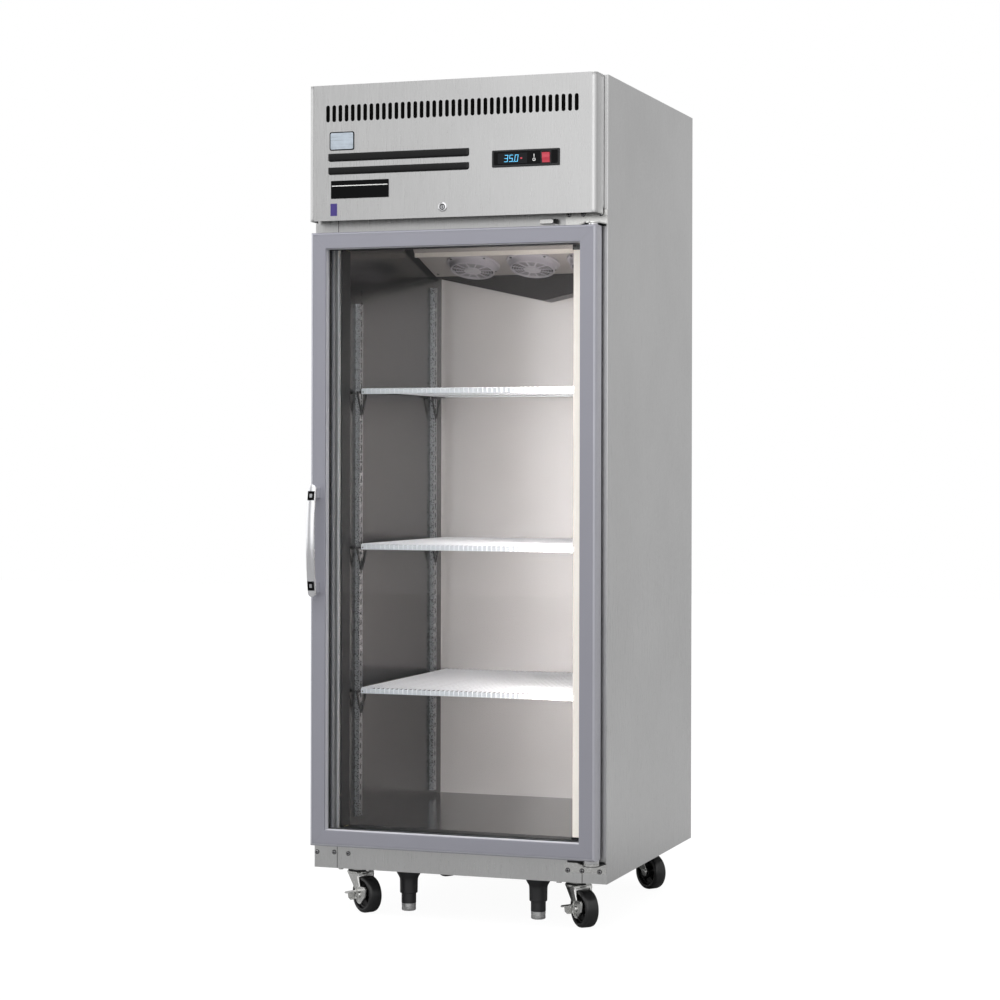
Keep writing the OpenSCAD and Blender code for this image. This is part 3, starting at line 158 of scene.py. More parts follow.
@dataclass(frozen=True)
class Finish:
    """What every finish has: its colour, gloss and the fine pattern of its surface."""

    name: str
    colour: str
    roughness: float
    metallic: float = 0.0
    ior: float = 1.5
    pattern_mm: float = 0.4
    colour_swing: float = 0.04
    gloss_swing: float = 0.05
    bump: float = 0.02
    grain: Grain = Grain.EVEN
    coat: float = 0.0
    patch_mm: float = 90.0
    patch_swing: float = 0.02

    def build(self) -> bpy.types.Material:
        """Makes the material.

        Returns:
            A material whose colour, gloss and relief vary over the surface.
        """
        material = bpy.data.materials.new(self.name)
        tree = blank_tree(material)
        place = add_node(tree, "ShaderNodeTexCoord").outputs["Object"]
        stretch = add_node(tree, "ShaderNodeMapping", {"Vector": place},
                           {"Scale": Vector(self.grain.value) * (MM / self.pattern_mm)})
        fine = add_node(tree, "ShaderNodeTexNoise", {"Vector": stretch},
                        {"Scale": 1.0, "Detail": 3.0, "Roughness": 0.6})
        patch = add_node(tree, "ShaderNodeTexNoise", {"Vector": place},
                         {"Scale": MM / self.patch_mm, "Detail": 2.0})
        tone = add_node(tree, "ShaderNodeMapRange", {"Value": fine.outputs["Fac"]},
                        {"From Min": 0.25, "From Max": 0.75, "To Min": 1 - self.colour_swing,
                         "To Max": 1 + self.colour_swing})
        cloud = add_node(tree, "ShaderNodeMapRange", {"Value": patch.outputs["Fac"]},
                         {"From Min": 0.3, "From Max": 0.7, "To Min": 1 - self.patch_swing,
                          "To Max": 1 + self.patch_swing})
        both = add_node(tree, "ShaderNodeMath", {0: tone, 1: cloud},
                        operation="MULTIPLY")
        shade = add_node(tree, "ShaderNodeVectorMath", {"Scale": both},
                         {0: linear(self.colour)[:3]}, operation="SCALE")
        gloss = add_node(tree, "ShaderNodeMapRange", {"Value": fine.outputs["Fac"]},
                         {"From Min": 0.25, "From Max": 0.75,
                          "To Min": max(0.02, self.roughness - self.gloss_swing),
                          "To Max": min(1.0, self.roughness + self.gloss_swing)})
        relief = add_node(tree, "ShaderNodeBump", {"Height": fine.outputs["Fac"]},
                          {"Strength": self.bump, "Distance": self.pattern_mm / MM})
        shader = add_node(tree, "ShaderNodeBsdfPrincipled",
                          {"Base Color": shade, "Roughness": gloss,
                           "Normal": relief},
                          {"Metallic": self.metallic, "IOR": self.ior, "Coat Weight": self.coat})
        self.extra(tree, shader)
        add_node(tree, "ShaderNodeOutputMaterial", {"Surface": shader})
        return material

    def extra(self, tree: bpy.types.NodeTree, shader: bpy.types.Node) -> None:
        """Adds what only this finish has; the plain finish has nothing more."""


@dataclass(frozen=True)
class Glowing(Finish):
    """A finish that also gives light, such as a lit diffuser or a lit digit."""

    glow: str = "ffffff"
    strength: float = 1.0

    def extra(self, tree: bpy.types.NodeTree, shader: bpy.types.Node) -> None:
        """Sets the light that the surface gives."""
        shader.inputs["Emission Color"].default_value = linear(self.glow)
        shader.inputs["Emission Strength"].default_value = self.strength


@dataclass(frozen=True)
class LinerSheet(Finish):
    """Mirror-like liner sheet whose rear wall is duller, so that it glows in the lamp's light; the other
    walls are painted darker as shade.
    """

    rear_m: float = 0.0
    rear_metal: float = 0.3
    side_painted_shade: float = 0.15

    def extra(self, tree: bpy.types.NodeTree, shader: bpy.types.Node) -> None:
        """Makes the wall behind the rear plane less mirror-like and paints the rest darker as shade.

        Args:
            tree: The material's node tree.
            shader: Its shader.
        """
        place = add_node(tree, "ShaderNodeTexCoord").outputs["Object"]
        parts = add_node(tree, "ShaderNodeSeparateXYZ", {0: place})
        rear = add_node(tree, "ShaderNodeMath", {0: parts.outputs["Y"]}, {1: self.rear_m},
                        operation="GREATER_THAN")
        metal = add_node(tree, "ShaderNodeMapRange", {"Value": rear},
                         {"To Min": self.metallic, "To Max": self.rear_metal})
        tree.links.new(metal.outputs[0], shader.inputs["Metallic"])
        tone = add_node(tree, "ShaderNodeMapRange", {"Value": rear}, {"To Min": self.side_painted_shade})
        base = shader.inputs["Base Color"]
        shade = add_node(tree, "ShaderNodeVectorMath", {0: base.links[0].from_socket, "Scale": tone},
                         operation="SCALE")
        tree.links.new(shade.outputs[0], base)


@dataclass(frozen=True)
class FoldedSheet(Finish):
    """Brushed sheet with softly bent ends, which catch a bright upright line of light."""

    fold_mm: float = 9.0
    fold_from: float = 0.35

    def extra(self, tree: bpy.types.NodeTree, shader: bpy.types.Node) -> None:
        """Rounds the shading normal near both ends.

        Args:
            tree: The material's node tree.
            shader: Its shader.
        """
        place = add_node(tree, "ShaderNodeTexCoord").outputs["Object"]
        parts = add_node(tree, "ShaderNodeSeparateXYZ", {0: place})
        far = add_node(tree, "ShaderNodeMath", {0: parts.outputs["X"]}, operation="ABSOLUTE")
        near = add_node(tree, "ShaderNodeMapRange", {"Value": far},
                        {"From Min": self.fold_from - 0.001, "From Max": self.fold_from})
        flat = add_node(tree, "ShaderNodeNewGeometry").outputs["Normal"]
        bent = add_node(tree, "ShaderNodeBevel", inputs={"Radius": self.fold_mm / MM}, samples=8)
        mix = add_node(tree, "ShaderNodeMix", {0: near, 4: flat, 5: bent},
                       data_type="VECTOR")
        relief = shader.inputs["Normal"].links[0].from_node
        tree.links.new(mix.outputs[1], relief.inputs["Normal"])


@dataclass(frozen=True)
class FloatGlass:
    """Clear float glass: light goes straight through it, and it reflects more at a slant."""

    name: str = "float_glass"
    tint: str = "fdfefe"
    reflection: float = 0.3

    def build(self) -> bpy.types.Material:
        """Makes the material.

        Returns:
            A clear material with Fresnel reflections.
        """
        material = bpy.data.materials.new(self.name)
        tree = blank_tree(material)
        clear = add_node(tree, "ShaderNodeBsdfTransparent", inputs={"Color": linear(self.tint)})
        mirror = add_node(tree, "ShaderNodeBsdfPrincipled",
                          inputs={"Base Color": linear("ffffff"), "Metallic": 1.0, "Roughness": 0.02})
        slant = add_node(tree, "ShaderNodeFresnel", inputs={"IOR": 1.5})
        share = add_node(tree, "ShaderNodeMath", {0: slant}, {1: self.reflection},
                         operation="MULTIPLY")
        mix = add_node(tree, "ShaderNodeMixShader",
                       {0: share, 1: clear, 2: mirror})
        add_node(tree, "ShaderNodeOutputMaterial", {"Surface": mix})
        return material


class Finishes:
    """All finishes of the refrigerator, each made once."""

    def __init__(self, places: Places) -> None:
        """Makes every material.

        Args:
            places: Tells where the liner's rear wall stands.
        """
        rear = places.at(0, places.box("inner_liner")[1].y - 4, 0).y
        # Stainless sheet, belt-brushed along its height: soft wide reflections and fine streaks. The real
        # scratches are a tenth of a millimetre wide and are drawn at 1.1 mm, so that they show.
        brushed = {"roughness": 0.3, "metallic": 1.0, "pattern_mm": 1.1, "grain": Grain.ALONG_Z, "bump": 0.03,
                   "colour_swing": 0.045, "gloss_swing": 0.05, "patch_mm": 260, "patch_swing": 0.04}
        self.sheet = Finish("brushed_stainless", "cecece", **brushed).build()
        self.hood_sheet = FoldedSheet("brushed_stainless_folded", "cecece", **brushed).build()
        # The same sheet inside, buffed and hardly touched: sharper reflections and no streaks to see. Its
        # side walls, floor and ceiling are painted darker as shade.
        self.liner = LinerSheet("bright_stainless_liner", "d2cfcf", 0.18, 1.0, pattern_mm=4.0,
                                grain=Grain.ALONG_Z, bump=0.0, colour_swing=0.015, gloss_swing=0.02,
                                rear_m=rear).build()
        # Hot-dip galvanised sheet: large soft crystals of zinc, each with a tone of its own.
        self.galvanised = Finish("galvanised_sheet", "c4c7c8", 0.42, 1.0, pattern_mm=9.0,
                                 colour_swing=0.1, gloss_swing=0.1).build()
        # Anodised aluminium, extruded: even satin grey. Its die lines are drawn at 0.8 mm, coarser than real.
        self.anodised = Finish("anodised_aluminium", "93939c", 0.36, 0.35, pattern_mm=0.8,
                               colour_swing=0.02, bump=0.008, patch_swing=0.01).build()
        # The rounded edge of the same extrusion, made paler and glossier as a painted highlight, so that it
        # reads as a light line.
        self.anodised_painted_highlight = Finish("anodised_aluminium_painted_highlight", "b4b4bc", 0.3, 0.4, pattern_mm=0.8,
                                    colour_swing=0.02, bump=0.008).build()
        # Stainless strip as it comes from the press: a plain grey gleam in broad tones.
        self.strip = Finish("pressed_stainless_strip", "a8a8aa", 0.28, 1.0, pattern_mm=3.0, bump=0.0,
                            colour_swing=0.03).build()
        # Co-extruded PVC: a flat pale line without the gleam of metal. Its pale tone is also a painted
        # highlight, on the frame's shaded inner return and along the liner's front edges.
        self.bead = Finish("pale_pvc_and_painted_highlight", "c2c2c8", 0.42, pattern_mm=0.8, bump=0.02).build()
        # Zinc-plated steel: bright, but blotched by the bath.
        self.zinc = Finish("zinc_plated_steel", "dededc", 0.24, 1.0, pattern_mm=3.0,
                           colour_swing=0.06, bump=0.04).build()
        # Chrome plate on a polished casting: near to a mirror, light and dark in hard patches.
        self.chrome = Finish("chrome_plate", "e2e2e4", 0.1, 1.0, bump=0.0, colour_swing=0.01).build()
        # Chrome plate brushed afterwards: as bright, with its reflections drawn soft.
        self.bright_chrome = Finish("brushed_bright_chrome", "e4e4e7", 0.2, 0.85, pattern_mm=0.8, bump=0.01,
                                    colour_swing=0.02).build()
        # Chrome plate on a blasted face: an even glow.
        self.satin_chrome = Finish("satin_chrome", "c9cacd", 0.22, 1.0, pattern_mm=0.8, bump=0.02,
                                   grain=Grain.ALONG_Z).build()
        # Etched steel: a bluish matt grain that runs across the plate.
        self.badge_steel = Finish("etched_badge_steel", "b9c3cd", 0.3, 0.6, pattern_mm=1.6, bump=0.03,
                                  grain=Grain.ALONG_X, colour_swing=0.08, patch_mm=20,
                                  patch_swing=0.1).build()
        # ABS moulded in a spark-eroded tool: fine tooth and a broad soft shine. The tooth is drawn at 0.8 mm
        # to 1 mm, coarser than real.
        self.black_plastic = Finish("moulded_abs_black", "141517", 0.5, pattern_mm=0.8, bump=0.08).build()
        self.grey_plastic = Finish("moulded_abs_grey", "96949a", 0.4, pattern_mm=0.8).build()
        self.white_plastic = Finish("moulded_abs_white", "dededc", 0.4, pattern_mm=0.8).build()
        self.leg_plastic = Finish("glass_filled_nylon", "303032", 0.4, pattern_mm=1.0, bump=0.1).build()
        self.rim = Finish("glass_filled_polypropylene", "0e0e0f", 0.42, pattern_mm=0.8, bump=0.05).build()
        # ABS moulded in a smoothed tool: black with clear, weak edges of light.
        self.satin_black = Finish("satin_abs_black", "0b0b0c", 0.26, ior=1.36, pattern_mm=0.9,
                                  bump=0.05).build()
        self.gloss_black = Finish("polished_abs_black", "060607", 0.14, ior=1.22, bump=0.0).build()
        # Filter fleece: swallows light, so that slots and gaps read as black. The same black also serves as
        # painted shade: dark sheets laid in slots, recesses, seams and gaps where there is only shade.
        self.black_fleece_and_painted_shade = Finish("air_filter_fleece_and_painted_shade", "030303", 1.0, ior=1.2, pattern_mm=1.5,
                                 bump=0.4).build()
        # Sheet steel under stoved powder paint: slight orange peel.
        self.cover_paint = Finish("powder_coat_beige", "94908e", 0.36, 0.2, pattern_mm=5.0,
                                  bump=0.01, colour_swing=0.02).build()
        # The cover's lip takes a paler copy of its paint: a painted highlight on the front edge.
        self.lip_highlight_paint = Finish("powder_coat_painted_highlight", "c6c2bc", 0.4, pattern_mm=5.0, bump=0.01).build()
        # The drain pan's paint is made dark to paint the shade under the cover.
        self.pan_shade_paint = Finish("powder_coat_painted_shade", "343132", 0.34, 0.4, pattern_mm=6.0, bump=0.008,
                                colour_swing=0.02).build()
        self.black_paint = Finish("powder_coat_black", "161617", 0.4, pattern_mm=2.0, bump=0.06).build()
        # Steel wire dipped in epoxy: smooth, milky and pale.
        self.wire_coat = Finish("epoxy_coated_wire", "dee1e6", 0.35, pattern_mm=1.5, bump=0.03).build()
        # Vulcanised rubber and soft PVC: dull, slightly chalky.
        self.tyre = Finish("vulcanised_rubber", "1b1b1c", 0.3, pattern_mm=0.8, bump=0.06,
                           colour_swing=0.1).build()
        self.gasket = Finish("soft_pvc_gasket", "a3a2a6", 0.5, pattern_mm=1.0).build()
        # Opal acrylic with tubes behind it: a warm, even glow.
        self.milky = Glowing("opal_acrylic", "d8d2cc", 0.35, glow="fff4ea", strength=0.42).build()
        # Drawn copper: warm, with darker bands where air has browned it.
        self.copper = Finish("copper_tube", "b4744c", 0.3, 1.0, pattern_mm=4.0, colour_swing=0.1).build()
        # Rolled aluminium foil: pale edges in a close row.
        self.fins = Finish("aluminium_fin_stock", "b4b8ba", 0.35, 1.0, pattern_mm=2.0).build()
        # Foamed polyurethane: yellowish, porous, without shine.
        self.foam = Finish("polyurethane_foam", "d8cfa4", 0.9, pattern_mm=3.0, bump=0.3).build()
        # Steel from the lathe: bright, with the tool's rings round it.
        self.foot_steel = Finish("turned_steel", "e4e4e4", 0.34, 0.75, pattern_mm=1.2,
                                 grain=Grain.ALONG_X, colour_swing=0.1).build()
        # Enamel baked on steel: deep and wet-looking.
        self.enamel = Finish("black_enamel", "121214", 0.22, pattern_mm=3.0, bump=0.04).build()
        # Polycarbonate over a small lamp: a clear skin and a faint glow from inside.
        self.rocker = Glowing("red_polycarbonate", "a83040", 0.25, coat=0.4, glow="ff5a6c",
                              strength=0.12).build()
        # Smoked acrylic: nearly black and smooth as a mirror.
        self.lens = Finish("smoked_acrylic", "020409", 0.06, ior=1.33, bump=0.0).build()
        # Vinyl under printing ink: flat and even.
        self.sticker = Finish("printed_vinyl", "3b2f72", 0.4, pattern_mm=1.0, bump=0.02).build()
        # A lit segment of the display: gives its own blue light.
        self.digit = Glowing("lit_digit", "102030", 0.4, glow="63c4f2", strength=1.7).build()
        self.glass = FloatGlass().build()


# --- Mesh tools ---


def as_given(x: float, y: float, z: float) -> Point:
    """Leaves a point as it is."""
    return x, y, z


@dataclass
class Shape:
    """Collects the faces of one piece and makes its object.

    Its points are cabinet millimetres, or what its spot rule turns into them.
    """

    places: Places
    name: str
    spot: Spot = as_given
    mesh: bmesh.types.BMesh = field(default_factory=bmesh.new)

    def loft(self, rings: Sequence[Sequence[Point]], closed: bool = False, caps: bool = True) -> None:
        """Skins a row of rings that all have the same number of points.

        Args:
            rings: The rings, each a closed loop of points.
            closed: Whether the last ring joins the first.
            caps: Whether the two ends get a face.
        """
        made = [[self.mesh.verts.new(self.places.at(*self.spot(*p))) for p in ring] for ring in rings]
        pairs = list(zip(made, made[1:])) + ([(made[-1], made[0])] if closed else [])
        for a, b in pairs:
            for i in range(len(a)):
                j = (i + 1) % len(a)
                self.mesh.faces.new((a[i], a[j], b[j], b[i]))
        if caps and not closed:
            self.mesh.faces.new(list(reversed(made[0])))
            self.mesh.faces.new(made[-1])

    def sheet(self, rings: Sequence[Sequence[Point]]) -> None:
        """Skins rings into a tray that is closed at its last ring only.

        Args:
            rings: The rings, from the open rim to the closed face.
        """
        self.loft(rings, caps=False)
        verts = self.mesh.verts
        verts.ensure_lookup_table()
        self.mesh.faces.new([verts[i] for i in range(len(verts) - len(rings[-1]), len(verts))])

    def block(self, low: Point, high: Point) -> None:
        """Adds a box between two corners."""
        (x0, y0, z0), (x1, y1, z1) = low, high
        self.loft([[(x0, y0, z), (x1, y0, z), (x1, y1, z), (x0, y1, z)] for z in (z0, z1)])

    def along_x(self, outline: Outline, x0: float, x1: float) -> None:
        """Extrudes an outline of y and z between two x values."""
        self.loft([[(x, y, z) for y, z in outline] for x in (x0, x1)])

    def along_y(self, outline: Outline, y0: float, y1: float) -> None:
        """Extrudes an outline of x and z between two y values."""
        self.loft([[(x, y, z) for x, z in outline] for y in (y0, y1)])

    def along_z(self, outline: Outline, z0: float, z1: float) -> None:
        """Extrudes an outline of x and y between two heights."""
        self.loft([[(x, y, z) for x, y in outline] for z in (z0, z1)])

    def lathe(self, profile: Outline, centre: Point, axis: Point, steps: int = 48) -> None:
        """Turns a profile of radius and height round an axis.

        Args:
            profile: Points of radius and distance along the axis, from one end to the other.
            centre: Where the axis starts.
            axis: Its direction.
            steps: Number of facets round the axis.
        """
        spin = Vector(axis).to_track_quat("Z", "Y").to_matrix()
        self.loft([[tuple(spin @ Vector((x, y, height)) + Vector(centre)) for x, y in circle(radius, steps)]
                   for radius, height in profile])

    def tube(self, path: Sequence[Point], radius: float, sides: int = 10) -> None:
        """Sweeps a round section along a path, with mitred turns.

        Args:
            path: Points of the centre line.
            radius: Radius of the section.
            sides: Number of facets round it.
        """
        points = [Vector(p) for p in path]
        ways = [(b - a).normalized() for a, b in zip(points, points[1:])]
        side = ways[0].orthogonal().normalized()
        rings = []
        for i, point in enumerate(points):
            before, after = ways[max(i - 1, 0)], ways[min(i, len(ways) - 1)]
            normal = (before + after).normalized()
            side = (side - side.project(before)).normalized()
            across = before.cross(side)
            ring = []
            for a in full_turn(sides):
                spoke = (side * math.cos(a) + across * math.sin(a)) * radius
                lift = -spoke.dot(normal) / max(before.dot(normal), 0.2)
                ring.append(tuple(point + spoke + before * lift))
            rings.append(ring)
            side = (side - side.project(after)).normalized()
        self.loft(rings)

    def place(self, body: str, material: bpy.types.Material, slot: str,
              replaces: Iterable[str] = (), bevel_mm: float = 0.0, angle: float = 32.0,
              segments: int = 2) -> bpy.types.Object:
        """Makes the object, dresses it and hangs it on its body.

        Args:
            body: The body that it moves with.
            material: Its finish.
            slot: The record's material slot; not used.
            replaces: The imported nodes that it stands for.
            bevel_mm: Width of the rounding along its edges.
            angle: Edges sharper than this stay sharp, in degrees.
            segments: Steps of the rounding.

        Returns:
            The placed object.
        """
        bmesh.ops.recalc_face_normals(self.mesh, faces=self.mesh.faces)
        data = bpy.data.meshes.new(self.name)
        self.mesh.to_mesh(data)
        self.mesh.free()
        piece = bpy.data.objects.new(self.name, data)
        bpy.context.scene.collection.objects.link(piece)
        data.materials.append(material)
        data.shade_smooth()
        data.set_sharp_from_angle(angle=math.radians(angle))
        if bevel_mm:
            edge = piece.modifiers.new("edge", "BEVEL")
            edge.width = bevel_mm / MM
            edge.segments = segments
            edge.limit_method = "ANGLE"
            edge.angle_limit = math.radians(angle)
            edge.harden_normals = True
        flat = piece.modifiers.new("flat", "WEIGHTED_NORMAL")
        flat.keep_sharp = True
        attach(piece, body)
        nodes = list(replaces)
        if nodes:
            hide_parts(*nodes)
        LOG.info("%s on %s", self.name, body)
        return piece


def full_turn(steps: int) -> list[float]:
    """Gives the angles of equal steps round a full turn, in radians."""
    return [2 * math.pi * i / steps for i in range(steps)]


def circle(radius: float, steps: int) -> list[Pair]:
    """Gives points on a circle round the origin."""
    return [(radius * math.cos(a), radius * math.sin(a)) for a in full_turn(steps)]


def drawn_in(rect: Rect, by: float) -> Rect:
    """Draws the four sides of a rectangle in by a distance."""
    return rect[0] + by, rect[1] + by, rect[2] - by, rect[3] - by


def corners(x0: float, y0: float, x1: float, y1: float) -> list[Pair]:
    """Gives the outline of a rectangle with sharp corners."""
    return [(x0, y0), (x1, y0), (x1, y1), (x0, y1)]


def arc(cx: float, cy: float, radius: float, start: float, end: float, steps: int = 6) -> list[Pair]:
    """Gives points on an arc, from one angle to another in degrees."""
    turns = [math.radians(start + (end - start) * i / steps) for i in range(steps + 1)]
    return [(cx + radius * math.cos(a), cy + radius * math.sin(a)) for a in turns]


def rounded(x0: float, y0: float, x1: float, y1: float, r: float, steps: int = 5) -> list[Pair]:
    """Gives the outline of a rectangle with round corners."""
    return (arc(x1 - r, y0 + r, r, -90, 0, steps) + arc(x1 - r, y1 - r, r, 0, 90, steps)
            + arc(x0 + r, y1 - r, r, 90, 180, steps) + arc(x0 + r, y0 + r, r, 180, 270, steps))


def islands(places: Places, node: str) -> list[tuple[Vector, Vector]]:
    """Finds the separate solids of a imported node.

    Args:
        places: Turns metres into cabinet millimetres.
        node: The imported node.

    Returns:
        Two corners of each solid, in cabinet millimetres.
    """
    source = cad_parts[node]
    mesh = bmesh.new()
    mesh.from_mesh(source.data)
    bmesh.ops.remove_doubles(mesh, verts=mesh.verts, dist=1e-6)
    seen: set[int] = set()
    mesh.verts.ensure_lookup_table()
    found = []
    for start in mesh.verts:
        if start.index in seen:
            continue
        seen.add(start.index)
        stack, points = [start], []
        while stack:
            vert = stack.pop()
            points.append(source.matrix_world @ vert.co)
            for edge in vert.link_edges:
                other = edge.other_vert(vert)
                if other.index not in seen:
                    seen.add(other.index)
                    stack.append(other)
        low, high = (Vector([pick(p[k] for p in points) for k in range(3)]) for pick in (min, max))
        found.append((places.measured(low), places.measured(high)))
    mesh.free()
    return found


def dress(material: bpy.types.Material, *nodes: str) -> None:
    """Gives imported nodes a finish.

    Args:
        material: The finish.
        nodes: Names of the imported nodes.
    """
    for name in nodes:
        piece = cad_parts[name]
        if not piece.material_slots:
            piece.data.materials.append(material)
        for slot in piece.material_slots:
            slot.material = material
        LOG.info("%s dressed", name)


# --- Sub-assemblies ---


@dataclass
class Assembly:
    """What every sub-assembly starts from: the places and the finishes."""

    places: Places
    finishes: Finishes

    def shape(self, name: str, spot: Spot = as_given) -> Shape:
        """Starts a new piece."""
        return Shape(self.places, name, spot)

    def box(self, node: str) -> tuple[Vector, Vector]:
        """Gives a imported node's lowest and highest corner in cabinet millimetres."""
        return self.places.box(node)


@dataclass
class Cabinet(Assembly):
    """Folded stainless skin, liners, foam and the sheets behind and on top."""

    sheet: float = 1.2
    fold: float = 2.0
    mouth: float = 311.0
    lip: float = 18.0
    back_flange: float = 25.0
    pivot_y: float = -36.0
    pivot_in: float = 25.5
    bracket_wide: float = 96.0
    shadow_strip_y: Pair = (-0.9, -0.05)
    tongue_shadow_round: float = 19.4
    low_shadow_strip_z: Pair = (-30.0, -8.5)
    high_shadow_strip_z: Pair = (-39.0, -6.0)
    tongue_shadow_z: Pair = (-13.45, -12.2)
    seam: Pair = (-0.15, 0.1)
    seam_x: Pair = (-0.7, 0.5)
    seam_end: float = 0.5
    roller_wide: float = 7.5
    roller_gap: float = 1.5
    head_tall: float = 2.0
    shadow_rim: float = 1.1
    recess_shade_half: float = 0.8

    def build(self) -> None:
        """Builds and dresses the cabinet."""
        for side, node in ((-1, "left_side_panel"), (1, "right_side_panel")):
            self.side_panel(side, node)
        f = self.finishes
        dress(f.sheet, "base_pan", "machine_deck", "top_cover")
        dress(f.galvanised, "back_panel", "rear_grille")
        dress(f.liner, "inner_liner")
        dress(f.foam, "insulation")
        dress(f.black_plastic, "breaker_strips", "cord_gland")
        dress(f.zinc, "hinge_brackets")
        self.screws()
        self.seams()
        self.hinge_shadows()
        self.switch()

    def screws(self) -> None:
        """Builds the pan-head screws of the face, each with painted shade in its cross recess and a dark ring
        of painted shadow round it.
        """
        heads = self.shape("face_screws")
        # Painted shade: black cross recesses on the heads and a dark ring round each head.
        dark = self.shape("screw_painted_shade")
        for low, high in islands(self.places, "screws"):
            x, z, face = (low.x + high.x) / 2, (low.z + high.z) / 2, low.y
            r = (high.x - low.x) / 2
            back, rim = face + self.head_tall, r + self.shadow_rim
            heads.lathe([(r * 0.45, face + 0.05), (r * 0.78, face + 0.4), (r * 0.95, face + 1.0), (r, back)],
                        (x, 0, z), (0, 1, 0), 24)
            dark.lathe([(r + 0.1, back - 0.35), (rim, back - 0.3), (rim, back - 0.1), (r + 0.1, back - 0.1)],
                       (x, 0, z), (0, 1, 0), 24)
            for w, h in ((self.recess_shade_half, r * 0.68), (r * 0.68, self.recess_shade_half)):
                dark.block((x - w, face - 0.02, z - h), (x + w, face + 0.4, z + h))
        heads.place("cabinet", self.finishes.strip, "zinc_steel", ["screws"])
        dark.place("cabinet", self.finishes.black_fleece_and_painted_shade, "black_strip")

    def seams(self) -> None:
        """Draws the shadow lines where the kick plate and the header meet the side sheets."""
        shape = self.shape("seam_shadows")
        for side in (-1, 1):
            x0, x1 = sorted(side * (self.mouth + x) for x in self.seam_x)
            for low, high in (self.box("base_pan"), self.box("machine_deck")):
                shape.block((x0, self.seam[0], low.z + self.seam_end),
                            (x1, self.seam[1], high.z - self.seam_end))
        shape.place("cabinet", self.finishes.black_fleece_and_painted_shade, "black_strip")

    def hinge_shadows(self) -> None:
        """Adds black strips of painted shadow along the hinge brackets, and a black plate of painted shadow
        on the lower bracket's tongue, below the door.
        """
        high = self.box("hinge_brackets")[1]
        door_low = self.box("door_frame")[0].z
        left, right, pin = high.x - self.bracket_wide, high.x - 4.0, high.x - self.pivot_in
        # Painted shadow: black strips on the kick and header faces, and a black plate on the tongue.
        shape = self.shape("hinge_painted_shadows")
        for level, (z0, z1) in ((door_low, self.low_shadow_strip_z), (high.z, self.high_shadow_strip_z)):
            shape.block((left, self.shadow_strip_y[0], level + z0), (right, self.shadow_strip_y[1], level + z1))
        tongue = [(left + 24, -3.1), (right + 3.5, -3.1), (pin + 19, self.pivot_y)]
        tongue += arc(pin, self.pivot_y, self.tongue_shadow_round, 0, -180, 14) + [(pin - 19, self.pivot_y)]
        shape.along_z(tongue, *[door_low + z for z in self.tongue_shadow_z])
        shape.place("cabinet", self.finishes.black_plastic, "black_strip")

    def switch(self) -> None:
        """Builds the door switch: a rounded body with its black roller."""
        low, high = self.box("door_switch")
        body = self.shape("switch_body")
        body.along_y(rounded(low.x, low.z, high.x - self.roller_wide - self.roller_gap, high.z, 4.0),
                     low.y, high.y)
        body.place("cabinet", self.finishes.zinc, "lamp_cover", ["door_switch"], bevel_mm=1.2, segments=3)
        roller = self.shape("switch_roller")
        roller.along_y(rounded(high.x - self.roller_wide, low.z + 0.4, high.x, high.z - 0.4, 3.0, 4),
                       low.y, high.y)
        roller.place("cabinet", self.finishes.black_plastic, "black_strip", bevel_mm=0.8)

    def side_panel(self, side: int, node: str) -> None:
        """Builds one side sheet with its rounded folds.

        Args:
            side: -1 for the left, 1 for the right.
            node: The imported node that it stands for.
        """
        t, r, half, deep = self.sheet, self.fold, self.places.half, self.places.depth
        outer = [(self.mouth, self.lip)] + arc(self.mouth + t, t, t, 180, 270, 3)
        outer += arc(half - r, r, r, -90, 0) + arc(half - r, deep - r, r, 0, 90)
        inner = [(half - self.back_flange, deep), (half - self.back_flange, deep - t), (half - t, deep - t),
                 (half - t, t), (self.mouth + t, t), (self.mouth + t, self.lip)]
        shape = self.shape(f"{node}_sheet")
        shape.along_z([(side * x, y) for x, y in outer + inner], 0, self.places.height)
        shape.place("cabinet", self.finishes.sheet, "stainless_skin", [node])


